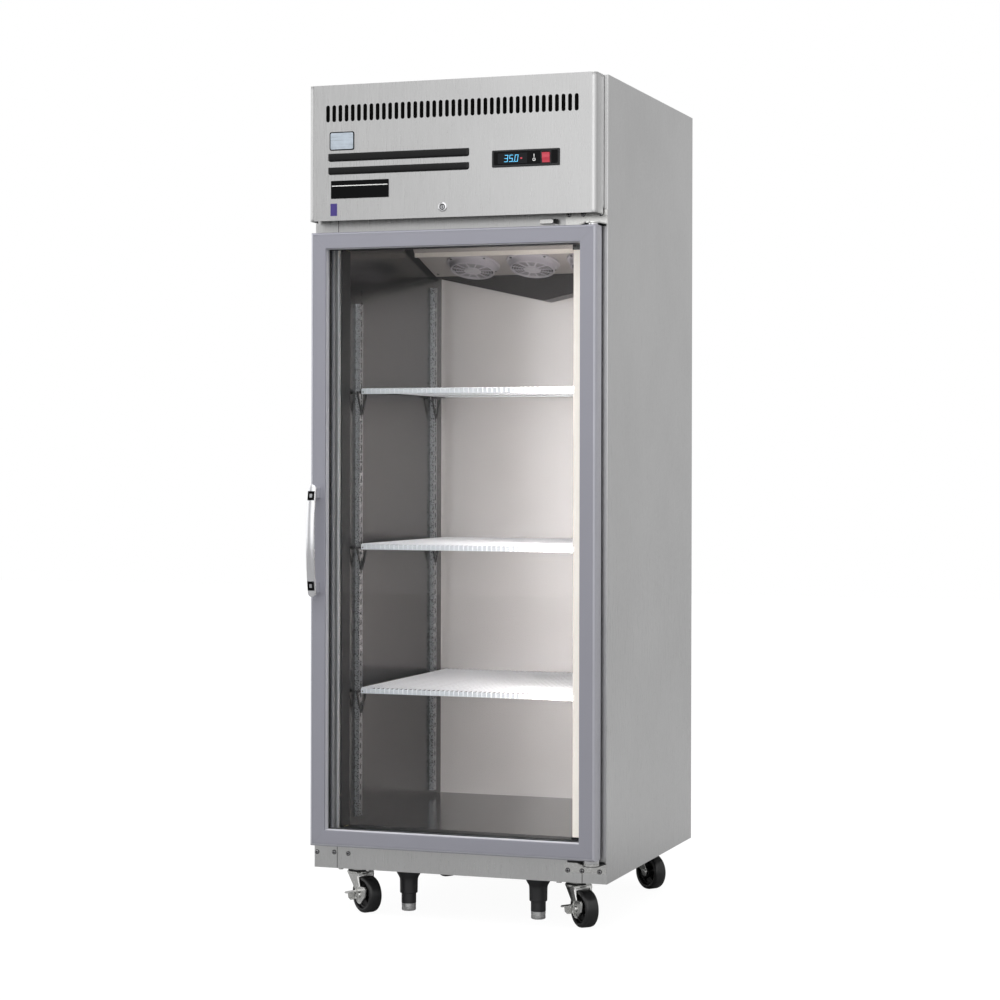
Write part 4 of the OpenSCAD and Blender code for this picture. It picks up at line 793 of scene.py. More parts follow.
@dataclass
class Hood(Assembly):
    """Lift-up hood with its vents, bars, thermometer, switch and lock."""

    bars: tuple[tuple[str, float, float], ...] = (("upper", 71.5, 52.0), ("lower", 103.0, 85.2))
    bar_round: float = 6.0
    bar_crown: Outline = ((0.0, 2.2), (0.8, 1.3), (2.4, 0.6), (4.6, 0.2), (7.4, 0.0))
    plate_drop: Pair = (160.5, 117.5)
    badge_size: Pair = (64.0, 44.6)
    lock_x: float = -18.6
    tongue: Pair = (56.0, 6.0)
    tongue_y: Pair = (23.0, 26.0)
    window: Pair = (14.5, 87.5)
    window_half: float = 12.5
    mark_gap: float = 17.0
    slots: int = 40
    slot_pitch: float = 16.05
    slot_drop: float = 49.0
    slot_size: Pair = (8.0, 39.0)
    slot_shade_grow: Pair = (0.75, -0.45)
    screen_in: float = 14.0
    screen_y: Pair = (1.5, 3.5)
    screen_drop: Pair = (104.0, 36.0)
    bezel_crown: Outline = ((0.0, 3.0), (0.0, 1.0), (1.0, 0.0), (4.0, 0.0), (5.2, 1.6))
    panel_in: float = 4.6
    digit_size: Pair = (9.0, 17.0)
    digit_gap: float = 3.0
    digit_bar: float = 1.9
    digit_slant: float = 0.12
    rocker_half: float = 9.5
    rocker_axis_y: float = -62.0
    rocker_tilt: float = 8.0

    def build(self) -> None:
        """Builds and dresses the hood."""
        dress(self.finishes.hood_sheet, "hood_panel")
        self.vent_screen()
        self.vent_slot_shade()
        self.trim()
        self.bezel()
        self.digits()
        self.rocker()
        self.lock()

    def vent_screen(self) -> None:
        """Adds the black filter fleece behind the vent slots."""
        low, high = self.box("hood_panel")
        shape = self.shape("vent_filter")
        shape.block((low.x + self.screen_in, low.y + self.screen_y[0], high.z - self.screen_drop[0]),
                    (high.x - self.screen_in, low.y + self.screen_y[1], high.z - self.screen_drop[1]))
        shape.place("hood", self.finishes.black_fleece_and_painted_shade, "fan_plastic")

    def vent_slot_shade(self) -> None:
        """Lines every vent slot with a thin black edging of painted shade."""
        low, high = self.box("hood_panel")
        top, tall, wide = high.z - self.slot_drop, self.slot_size[1], self.slot_size[0]
        shape = self.shape("vent_slot_painted_shade")
        for i in range(self.slots):
            x = (i - (self.slots - 1) / 2) * self.slot_pitch
            rings = []
            for grow in self.slot_shade_grow:
                half = wide / 2 + grow
                rings.append(rounded(x - half, top - tall - grow, x + half, top + grow, half - 0.01, 4))
            shape.loft([[(xo, low.y - 0.12, zo), (xi, low.y - 0.12, zi),
                         (xi, low.y + 1.3, zi), (xo, low.y + 0.3, zo)]
                        for (xo, zo), (xi, zi) in zip(*rings)], closed=True)
        shape.place("hood", self.finishes.black_fleece_and_painted_shade, "fan_plastic")

    def trim(self) -> None:
        """Builds the two bars, the name plate, the badge and the label, all bare."""
        low, high = self.box("hood_trim")
        front, back, left, right, top = low.y, high.y, low.x, high.x, high.z
        f, r = self.finishes, self.bar_round
        for name, below, above in self.bars:
            rings = []
            for inset, lift in [(0.0, back)] + [(inset, front + deep) for inset, deep in self.bar_crown]:
                low_r, high_r = max(0.4, r - inset), max(0.3, 1.6 - inset)
                x0, z0, x1, z1 = drawn_in((left, top - below, right, top - above), inset)
                outline = (arc(x0 + low_r, z0 + low_r, low_r, 180, 270)
                           + arc(x1 - low_r, z0 + low_r, low_r, 270, 360)
                           + arc(x1 - high_r, z1 - high_r, high_r, 0, 90, 2)
                           + arc(x0 + high_r, z1 - high_r, high_r, 90, 180, 2))
                rings.append([(x, lift, z) for x, z in outline])
            bar = self.shape(f"trim_bar_{name}")
            bar.loft(rings)
            bar.place("hood", f.satin_black, "fan_plastic", ["hood_trim"] if name == "upper" else (),
                      angle=50)
        z0, z1 = (top - drop for drop in self.plate_drop)
        stripe = self.shape("plate_stripe")
        stripe.block((left + 10, back - 1.75, z1 - 13.5), (left + 154, back - 1.45, z1 - 11.5))
        stripe.place("hood", f.white_plastic, "coated_wire")
        badge = (left + 3.5, top - 0.2 - self.badge_size[1], left + 3.5 + self.badge_size[0], top - 0.2)
        for name, rect, round_r, thick, material, slot, bevel in (
                ("name_plate", (left + 7.5, z0, left + 156.5, z1), 1.2, 1.5, f.gloss_black,
                 "fan_plastic", 0.3),
                ("badge_plate", badge, 5.0, 1.2, f.gloss_black, "chrome_lock", 0.4),
                ("small_label", (left + 6, low.z, left + 23, low.z + 29.5), 0.8, 0.5, f.sticker,
                 "rocker_red", 0.0)):
            plate = self.shape(name)
            plate.along_y(rounded(*rect, round_r), back - thick, back)
            plate.place("hood", material, slot, bevel_mm=bevel)
        inlay = self.shape("badge_inlay")
        for inset, lift in ((2.6, 0.25), (6.4, 0.45)):
            inlay.along_y(rounded(*drawn_in(badge, inset), 4.2 - inset / 3), back - 1.2 - lift, back - 1.15)
        inlay.place("hood", f.badge_steel, "chrome_lock", bevel_mm=0.15)

    def bezel(self) -> None:
        """Builds the thermometer's bezel: a moulded rim, a smoked window and the switch well."""
        low, high = self.box("display_bezel")
        face, f, middle = low.y, self.finishes, (low.z + high.z) / 2
        outline = (low.x, low.z, high.x, high.z)
        rim = self.shape("bezel_rim")
        rim.loft([[(x, y, z) for x, z in rounded(*drawn_in(outline, inset), max(0.6, 2.4 - inset * 0.3), 3)]
                  for inset, y in [(inset, face + deep) for inset, deep in self.bezel_crown]], caps=False)
        rim.place("hood", f.black_plastic, "fan_plastic", ["display_bezel"], bevel_mm=0.35)
        panel = self.shape("bezel_panel")
        x0, z0, x1, z1 = drawn_in(outline, self.panel_in)
        panel.block((x0, face + 1.6, z0), (x1, face + 2.6, z1))
        panel.place("hood", f.gloss_black, "fan_plastic")
        lens = self.shape("display_lens")
        x0, x1 = (low.x + side for side in self.window)
        lens.along_y(rounded(x0, middle - self.window_half, x1, middle + self.window_half, 1.5, 3),
                     face + 0.9, face + 1.7)
        lens.place("hood", f.lens, "fan_plastic", bevel_mm=0.3)
        well = self.shape("switch_well")
        rocker_low, rocker_high = self.box("rocker_switch")
        x = (rocker_low.x + rocker_high.x) / 2
        well.loft([[(a, y, b) for a, b in corners(x - wide, middle - tall, x + wide, middle + tall)]
                   for wide, tall, y in ((13.4, 16.0, face + 1.7), (12.6, 15.2, face + 0.2),
                                         (10.4, 13.4, face + 0.2), (10.2, 13.2, face + 1.8))], caps=False)
        well.place("hood", f.black_plastic, "fan_plastic", bevel_mm=0.3)
        marks = self.shape("switch_marks")
        x, near, far = rocker_low.x - self.mark_gap, face + 1.45, face + 1.65
        marks.along_y(rounded(x - 0.9, middle + 1.2, x + 0.9, middle + 8.4, 0.5, 2), near, far)
        marks.loft([[(x + a, y, middle - 4.4 + b) for a, b in circle(radius, 24)] for radius, y in
                    ((3.7, near), (2.3, near), (2.3, far), (3.7, far))], closed=True)
        marks.place("hood", f.white_plastic, "coated_wire")

    def digits(self) -> None:
        """Builds the lit seven-segment figures of the thermometer, slanted as such figures are."""
        low, high = self.box("display_bezel")
        face = low.y + 0.9
        shape = self.shape("display_digits")
        x, z = low.x + self.window[0] + 15.5, (low.z + high.z) / 2 - 8.5
        segments = {"3": "abcdg", "5": "acdfg", "0": "abcdef"}
        (wide, tall), thick, gap = self.digit_size, self.digit_bar, 0.35
        spots = {"a": (0.0, tall - thick, wide, tall), "d": (0.0, 0.0, wide, thick),
                 "g": (0.0, (tall - thick) / 2, wide, (tall + thick) / 2),
                 "b": (wide - thick, tall / 2, wide, tall), "c": (wide - thick, 0.0, wide, tall / 2),
                 "f": (0.0, tall / 2, thick, tall), "e": (0.0, 0.0, thick, tall / 2)}

        def bar(*rect: float) -> None:
            """Adds one slanted bar of light."""
            shape.along_y([(x + a + b * self.digit_slant, z + b) for a, b in corners(*rect)],
                          face - 0.25, face + 0.1)

        for figure in "350":
            for name in segments[figure]:
                bar(*drawn_in(spots[name], gap))
            x += wide + self.digit_gap
            if figure == "5":
                bar(-2.0, 0.0, -0.2, 1.8)
                x += 1.2
        shape.place("hood", self.finishes.digit, "lamp_cover")
        spark = self.shape("display_mark")
        middle = (low.z + high.z) / 2
        spark.along_y(rounded(x + 3, middle - 2.2, x + 8, middle + 1.4, 0.8, 2), face - 0.25, face + 0.1)
        spark.place("hood", self.finishes.rocker, "rocker_red")

    def rocker(self) -> None:
        """Builds the rocker with its two round faces and a ridge between them."""
        low, high = self.box("rocker_switch")
        middle_x, middle_z = (low.x + high.x) / 2, (low.z + high.z) / 2
        shape = self.shape("rocker_cap")
        section = [(-4.0 + 0.9 * abs(z) / 12 + 0.5 * math.sin(math.pi * abs(z) / 12), z)
                   for z in [-12 + 24 * i / 10 for i in range(11)]]
        section += [(4, 9), (6, 0), (4, -9)]
        cos, sin = math.cos(math.radians(self.rocker_tilt)), math.sin(math.radians(self.rocker_tilt))
        shape.along_x([(self.rocker_axis_y + y * cos - z * sin, middle_z + y * sin + z * cos)
                       for y, z in section],
                      middle_x - self.rocker_half, middle_x + self.rocker_half)
        shape.place("rocker", self.finishes.rocker, "rocker_red", ["rocker_switch"], bevel_mm=0.6)

    def lock(self) -> None:
        """Builds the cylinder lock: a ring, a turning plug, the tongue, and painted shade in its keyhole and
        in the gap round the plug.
        """
        low, high = self.box("lock_cylinder")
        f, radius = self.finishes, self.lock_x - low.x
        z = (low.z + high.z) / 2
        centre = (self.lock_x, low.y, z)
        ring = self.shape("lock_ring")
        ring.lathe([(radius - 4.6, 1.2), (radius - 4.4, 0.3), (radius - 3.8, 0.0), (radius - 1.4, 0.2),
                    (radius - 0.3, 1.2), (radius, 2.9), (radius - 2, 2.9), (radius - 2, 26), (4, 26)],
                   centre, (0, 1, 0), 40)
        (long, half), (y0, y1) = self.tongue, (low.y + side for side in self.tongue_y)
        ring.block((self.lock_x, y0, z - half), (self.lock_x + long - half, y1, z + half))
        ring.along_y(arc(self.lock_x + long, z, half, -90, 90, 8)
                     + [(self.lock_x + long - 8, z + half), (self.lock_x + long - 8, z - half)], y0, y1)
        ring.place("lock", f.chrome, "chrome_lock", ["lock_cylinder"], angle=40)
        plug = self.shape("lock_plug")
        plug.lathe([(0.01, 0.5), (4.6, 0.5), (5.1, 0.9), (5.1, 2.5)], centre, (0, 1, 0), 32)
        plug.place("lock", f.satin_chrome, "chrome_lock")
        # Painted shade: a black keyhole and a black ring in the gap round the plug.
        dark = self.shape("lock_painted_shade")
        dark.along_y(rounded(self.lock_x - 0.9, z - 3.6, self.lock_x + 0.9, z + 3.6, 0.8, 3),
                     low.y + 0.35, low.y + 0.6)
        dark.lathe([(5.2, 0.9), (7.2, 0.9), (7.2, 1.15), (5.2, 1.15)], centre, (0, 1, 0), 32)
        dark.place("lock", f.black_fleece_and_painted_shade, "black_strip")


@dataclass
class Door(Assembly):
    """Framed glass door with gasket, handle and bushes."""

    member: float = 39.0
    deep: float = 45.0
    edge_round: float = 6.0
    glass_at: float = 22.5
    groove: float = 10.0
    glass_deep: float = 20.5
    pane: float = 4.0
    spacer: Pair = (2.0, 9.0)
    mitre_gap: float = 0.12
    tongue_slot: tuple[Point, Point] = ((-27.6, -43.0, -14.0), (23.4, -36.0, 1.0))
    handle_bow: float = 13.0
    handle_thick: float = 9.0
    foot_in: float = 21.0
    inset_in: float = 27.0

    def build(self) -> None:
        """Builds and dresses the door."""
        f = self.finishes
        dress(f.gasket, "door_gasket")
        dress(f.chrome, "door_bushes")
        self.frame()
        self.glass()
        # The glazing bead is pale as a painted highlight on the frame's shaded inner return.
        self.bead("glazing_bead", ((0.0, 5.0), (1.3, 5.6), (1.3, self.glass_at - 2.6),
                                   (0.0, self.glass_at - 2.4)),
                  f.bead, "anodised_frame")
        self.bead("glazing_gasket", ((0.0, self.glass_at - 2.3), (2.6, self.glass_at - 1.8),
                                     (3.2, self.glass_at - 0.05), (0.0, self.glass_at - 0.05)),
                  f.black_plastic, "black_strip")
        self.handle()

    def bead(self, name: str, outline: Outline, material: bpy.types.Material, slot: str) -> None:
        """Runs a bead round the inner edge of the frame, in front of the glass.

        Args:
            name: Name of the piece.
            outline: Distance into the opening and depth from the face.
            material: Its finish.
            slot: The record's material slot.
        """
        low, high = self.box("door_frame")
        x0, z0, x1, z1 = drawn_in((low.x, low.z, high.x, high.z), self.member)
        shape = self.shape(name)
        shape.loft([[(x + dx * u, low.y + v, z + dz * u) for u, v in outline] for x, z, dx, dz in
                    ((x0, z0, 1, 1), (x1, z0, -1, 1), (x1, z1, -1, -1), (x0, z1, 1, -1))], closed=True)
        shape.place("door", material, slot, angle=20)

    def section(self) -> list[Pair]:
        """Gives the extrusion's outline.

        Returns:
            Pairs of distance inwards from the outer edge and depth from the face.
        """
        r, w, d = self.edge_round, self.member, self.deep
        seat = self.glass_at + self.glass_deep
        return ([(3.1, d), (3.1, 9.0), (r + 0.1, r), (r + 0.1, 0.6), (r + 0.7, 0.0), (w - 2.0, 0.0),
                 (w - 0.5, 0.5), (w, 2.0), (w, self.glass_at), (w - self.groove, self.glass_at),
                 (w - self.groove, seat), (w, seat), (w, d - 1.0), (w - 1.0, d)])

    def edge_section(self) -> list[Pair]:
        """Gives the outline of the extrusion's rounded outer edge.

        Returns:
            Pairs of distance inwards from the outer edge and depth from the face.
        """
        r, d = self.edge_round, self.deep
        return ([(0.0, d), (0.0, 11.0), (0.35, 10.6), (0.35, 9.8), (0.0, 9.4)]
                + [(r - r * math.sin(a), r - r * math.cos(a)) for a in
                   [math.radians(90 - 90 * i / 7) for i in range(8)]]
                + [(r, r), (3.0, 9.0), (3.0, d)])

    def frame(self) -> None:
        """Builds the four mitred members and cuts the slot that takes the lock's tongue."""
        low, high = self.box("door_frame")
        cx, cz = (low.x + high.x) / 2, (low.z + high.z) / 2
        half_x, half_z = (high.x - low.x) / 2, (high.z - low.z) / 2
        f = self.finishes
        for name, turn in (("bottom", 0), ("right", 90), ("top", 180), ("left", 270)):
            reach, out = (half_x, half_z) if turn % 180 == 0 else (half_z, half_x)
            spin = Matrix.Rotation(math.radians(turn), 2)
            # The rounded outer edges take the paler copy of the finish, a painted highlight; the top member
            # keeps the plain finish.
            for part, outline, metal in (("frame", self.section(), f.anodised),
                                         ("frame_edge", self.edge_section(), f.anodised_painted_highlight)):
                shape = self.shape(f"{part}_{name}")
                rings = []
                for side in (-1, 1):
                    flats = [(spin @ Vector((side * (reach - u - self.mitre_gap), u - out)), v)
                             for u, v in outline]
                    rings.append([(cx + flat.x, low.y + v, cz + flat.y) for flat, v in flats])
                shape.loft(rings)
                first = name == "bottom" and part == "frame"
                piece = shape.place("door", f.anodised if name == "top" else metal, "anodised_frame",
                                    ["door_frame"] if first else (), angle=30)
                if name == "top":
                    self.carve(piece, *[(x, y, high.z + z) for x, y, z in self.tongue_slot])

    def carve(self, piece: bpy.types.Object, low: Point, high: Point) -> None:
        """Cuts a block out of a piece and keeps the result as its mesh.

        Args:
            piece: The piece that gets the hole.
            low: Lowest corner of the block, in cabinet millimetres.
            high: Highest corner of the block.
        """
        shape = self.shape("slot_cutter")
        shape.block(low, high)
        bmesh.ops.recalc_face_normals(shape.mesh, faces=shape.mesh.faces)
        data = bpy.data.meshes.new("slot_cutter")
        shape.mesh.to_mesh(data)
        shape.mesh.free()
        cutter = bpy.data.objects.new("slot_cutter", data)
        bpy.context.scene.collection.objects.link(cutter)
        hole = piece.modifiers.new("slot", "BOOLEAN")
        hole.operation, hole.object, hole.solver = "DIFFERENCE", cutter, "EXACT"
        bpy.context.view_layer.update()
        graph = bpy.context.evaluated_depsgraph_get()
        result = bpy.data.meshes.new_from_object(piece.evaluated_get(graph))
        piece.modifiers.remove(hole)
        old = piece.data
        piece.data = result
        bpy.data.meshes.remove(old)
        bpy.data.objects.remove(cutter)
        bpy.data.meshes.remove(data)

    def glass(self) -> None:
        """Builds the two panes and the spacer between them."""
        low, high = self.box("glass_unit")
        panes = self.shape("glass_panes")
        outline = (low.x, low.z, high.x, high.z)
        for face, inner in ((low.y, low.y + self.pane), (high.y, high.y - self.pane)):
            panes.sheet([[(x, y, z) for x, z in corners(*drawn_in(outline, inset))] for inset, y in
                         ((0.0, inner), (0.0, face + (inner - face) * 0.15), (0.6, face))])
        panes.place("door", self.finishes.glass, "clear_glass", ["glass_unit"])
        ring = self.shape("glass_spacer")
        y0, y1 = low.y + self.pane + 0.1, high.y - self.pane - 0.1
        edges = zip(*[corners(*drawn_in(outline, inset)) for inset in self.spacer])
        ring.loft([[(xo, y0, zo), (xi, y0, zi), (xi, y1, zi), (xo, y1, zo)] for (xo, zo), (xi, zi) in edges],
                  closed=True)
        ring.place("door", self.finishes.black_plastic, "black_strip")

    def handle(self) -> None:
        """Builds the bowed bar, its two feet and the black insets."""
        low, high = self.box("door_handle")
        middle, x, f = (low.z + high.z) / 2, (low.x + high.x) / 2, self.finishes
        long, bow, thick, half = high.z - low.z, self.handle_bow, self.handle_thick, (high.x - low.x) / 2
        radius = (long * long / 4 + bow * bow) / (2 * bow)
        def bowed(up: float) -> float:
            """Gives the depth of the bow at a height from the handle's middle."""
            return low.y + radius - math.sqrt(radius * radius - up * up)

        bar = self.shape("handle_bar")
        rings = []
        ends = [0.925, 0.95, 0.97, 0.985, 0.995, 1.0]
        for share in [-end for end in reversed(ends)] + [i / 20 - 0.9 for i in range(37)] + ends:
            z = share * long / 2
            near = min(1.0, (long / 2 - abs(z)) / half)
            w = max(0.6, half * math.sqrt(max(0.0, 1 - (1 - near) ** 2)))
            front = bowed(z)
            ring = [(x + u * w, front + thick * 0.32 * (1 - math.sqrt(max(0.0, 1 - u * u * 0.96)))
                     + (half - w) * 0.12, middle + z) for u in [-1 + i / 6 for i in range(13)]]
            rings.append(ring + [(x + w * u, front + thick * v, middle + z)
                                 for u, v in ((1, 0.85), (0.86, 1), (-0.86, 1), (-1, 0.85))])
        bar.loft(rings)
        for side in (-1, 1):
            z = middle + side * (long / 2 - self.foot_in)
            bar.loft([[(a, y, b) for a, b in corners(x - w, z - h, x + w, z + h)]
                      for y, w, h in ((high.y, 7, 13), (high.y - 8, 6.6, 12), (low.y + 17, 6.6, 12))])
        bar.place("door", f.bright_chrome, "handle_steel", ["door_handle"], bevel_mm=0.5, angle=35)
        for name, w, h, rows, material, slot in (
                ("handle_insets", 8.4, 11.0, ((3.0, 1.0), (-0.3, 1.0), (-0.7, 0.94)), f.gloss_black,
                 "fan_plastic"),
                ("handle_studs", 3.2, 4.4, ((0.0, 1.0), (-1.0, 1.0), (-1.2, 0.9)), f.satin_chrome,
                 "chrome_lock")):
            shape = self.shape(name)
            for z in (self.inset_in - long / 2, long / 2 - self.inset_in):
                shape.loft([[(a, bowed(b) + deep, middle + b)
                             for a, b in corners(x - w * s, z - h * s, x + w * s, z + h * s)]
                            for deep, s in rows])
            shape.place("door", material, slot)


@dataclass
class Inside(Assembly):
    """Shelves with their supports, the lamp and the probe."""

    wires: int = 49
    wire_r: float = 1.5
    rod_r: float = 2.5
    rod_in: float = 5.5
    bend: float = 4.5
    bend_cut: float = 1.3
    probe_z: float = 1651.0
    clip_spread: float = 32.0
    clip_tall: float = 58.0
    clip_bar: float = 3.2
    rear_post: float = 640.0
    slot_pitch: float = 25.4
    slot_start: float = 40.0
    slot_size: Pair = (4.0, 14.0)
    mouth: float = 311.0

    def build(self) -> None:
        """Builds and dresses what stands and hangs inside the liner."""
        f = self.finishes
        dress(f.strip, "pilasters")
        dress(f.liner, "lamp_housing")
        dress(f.milky, "lamp_diffuser")
        dress(f.white_plastic, "condensate_drain")
        for node in ("shelf_bottom", "shelf_middle", "shelf_top"):
            self.shelf(node)
        self.clips()
        self.slots()
        self.mouth_edge()
        self.probe()

    def mouth_edge(self) -> None:
        """Adds thin pale strips as a painted highlight where the liner's sides meet the door opening."""
        low = self.box("inner_liner")[0]
        shape = self.shape("mouth_painted_highlights")
        for side in (-1, 1):
            x0, x1 = sorted((side * (self.mouth - 0.1), side * (self.mouth - 1.8)))
            shape.block((x0, 1.0, low.z + 6), (x1, 4.5, self.box("evaporator_cover")[0].z))
        shape.place("cabinet", self.finishes.bead, "liner_steel", bevel_mm=0.4)

    def slots(self) -> None:
        """Lays thin black sheets as painted shade where each pilaster has the row of slots that take the
        clips.
        """
        low, high = self.box("pilasters")
        inner = self.box("shelf_clips")[1].x
        shape = self.shape("pilaster_slot_shade")
        count = int((high.z - low.z - 60) / self.slot_pitch)
        for side in (-1, 1):
            x0, x1 = sorted((side * (inner + 0.05), side * (inner + 0.35)))
            for middle in (low.y + 15, self.rear_post):
                for i in range(count):
                    z, half = low.z + self.slot_start + i * self.slot_pitch, self.slot_size[0] / 2
                    shape.along_x(rounded(middle - half, z, middle + half, z + self.slot_size[1],
                                          half - 0.1, 2), x0, x1)
        shape.place("cabinet", self.finishes.black_fleece_and_painted_shade, "black_strip")

    def shelf(self, node: str) -> None:
        """Builds one wire shelf.

        Args:
            node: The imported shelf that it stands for.
        """
        low, high = self.box(node)
        shape = self.shape(f"{node}_wires")
        wire, rod = self.wire_r, self.rod_r
        top, front = high.z - wire, low.y + wire
        for i in range(self.wires):
            x = low.x + rod + i * (high.x - low.x - 2 * rod) / (self.wires - 1)
            shape.tube([(x, high.y, top), (x, front + self.bend, top),
                        (x, front + self.bend_cut, top - self.bend_cut), (x, front, top - self.bend),
                        (x, front, low.z + wire)], wire, 6)
        under = top - wire - rod
        third = (high.y - low.y) / 3
        for y in (low.y + self.rod_in, low.y + third, low.y + 2 * third, high.y - rod):
            shape.tube([(low.x, y, under), (high.x, y, under)], rod, 8)
        for x in (low.x + rod, high.x - rod):
            shape.tube([(x, low.y + self.rod_in, under), (x, high.y, under)], rod, 8)
        shape.tube([(low.x, front + 3, low.z + wire), (high.x, front + 3, low.z + wire)], wire, 8)
        shape.place("cabinet", self.finishes.wire_coat, "coated_wire", [node], angle=60)
        band = self.shape(f"{node}_band")
        band.block((low.x + 6, front + 1.5, low.z + 1), (high.x - 6, front + 2.3, top - 1))
        band.place("cabinet", self.finishes.wire_coat, "coated_wire")

    def clips(self) -> None:
        """Builds the clips: a ledge on two bars that meet in a point at the pilaster."""
        low, high = self.box("shelf_clips")
        shape, outer, w = self.shape("clip_bars"), high.x, self.clip_bar
        for shelf in ("shelf_bottom", "shelf_middle", "shelf_top"):
            top = self.box(shelf)[1].z - 8.2
            for middle in (low.y + self.clip_spread, self.rear_post):
                for side in (-1, 1):
                    x0, x1 = sorted((side * outer, side * (outer - 3)))
                    for lean, after, before in ((-1, 2.0, 0.2), (1, 0.2, 2.0)):
                        foot, head = middle + lean * 1.5, middle + lean * self.clip_spread
                        shape.along_x([(foot - w, top - self.clip_tall), (foot + w, top - self.clip_tall),
                                       (head + w * after, top - 6), (head - w * before, top - 6)], x0, x1)
                    shape.along_x(corners(middle - self.clip_spread, top - 6, middle + self.clip_spread, top),
                                  x0, x1)
                    l0, l1 = sorted((side * (outer - 16), side * (outer - 2.5)))
                    front = max(middle - self.clip_spread, 101.0)
                    shape.block((l0, front, top - 2.5), (l1, middle + self.clip_spread, top))
        shape.place("cabinet", self.finishes.black_paint, "clip_steel", ["shelf_clips"], bevel_mm=0.3)

    def probe(self) -> None:
        """Builds the temperature probe in its spring clip, high on the left wall."""
        low = self.box("evaporator_cover")[0]
        wall, y, z = -self.box("pilasters")[1].x, low.y - 26, self.probe_z
        shape = self.shape("probe_clip")
        for lift in (-8.0, 8.0):
            shape.along_x(corners(y - 13, z + lift - 1.5, y + 13, z + lift + 1.5), wall + 0.2, wall + 14)
        shape.block((wall + 0.2, y - 13, z - 8), (wall + 1.4, y + 13, z + 8))
        shape.place("cabinet", self.finishes.chrome, "clip_steel", bevel_mm=0.4)
        bulb = self.shape("probe_bulb")
        bulb.lathe([(0.01, 0), (3.2, 1.5), (4, 4), (4, 44), (2, 47), (2, 60)], (wall + 8, y - 24, z),
                   (0, 1, 0), 20)
        bulb.place("cabinet", self.finishes.black_plastic, "black_strip")


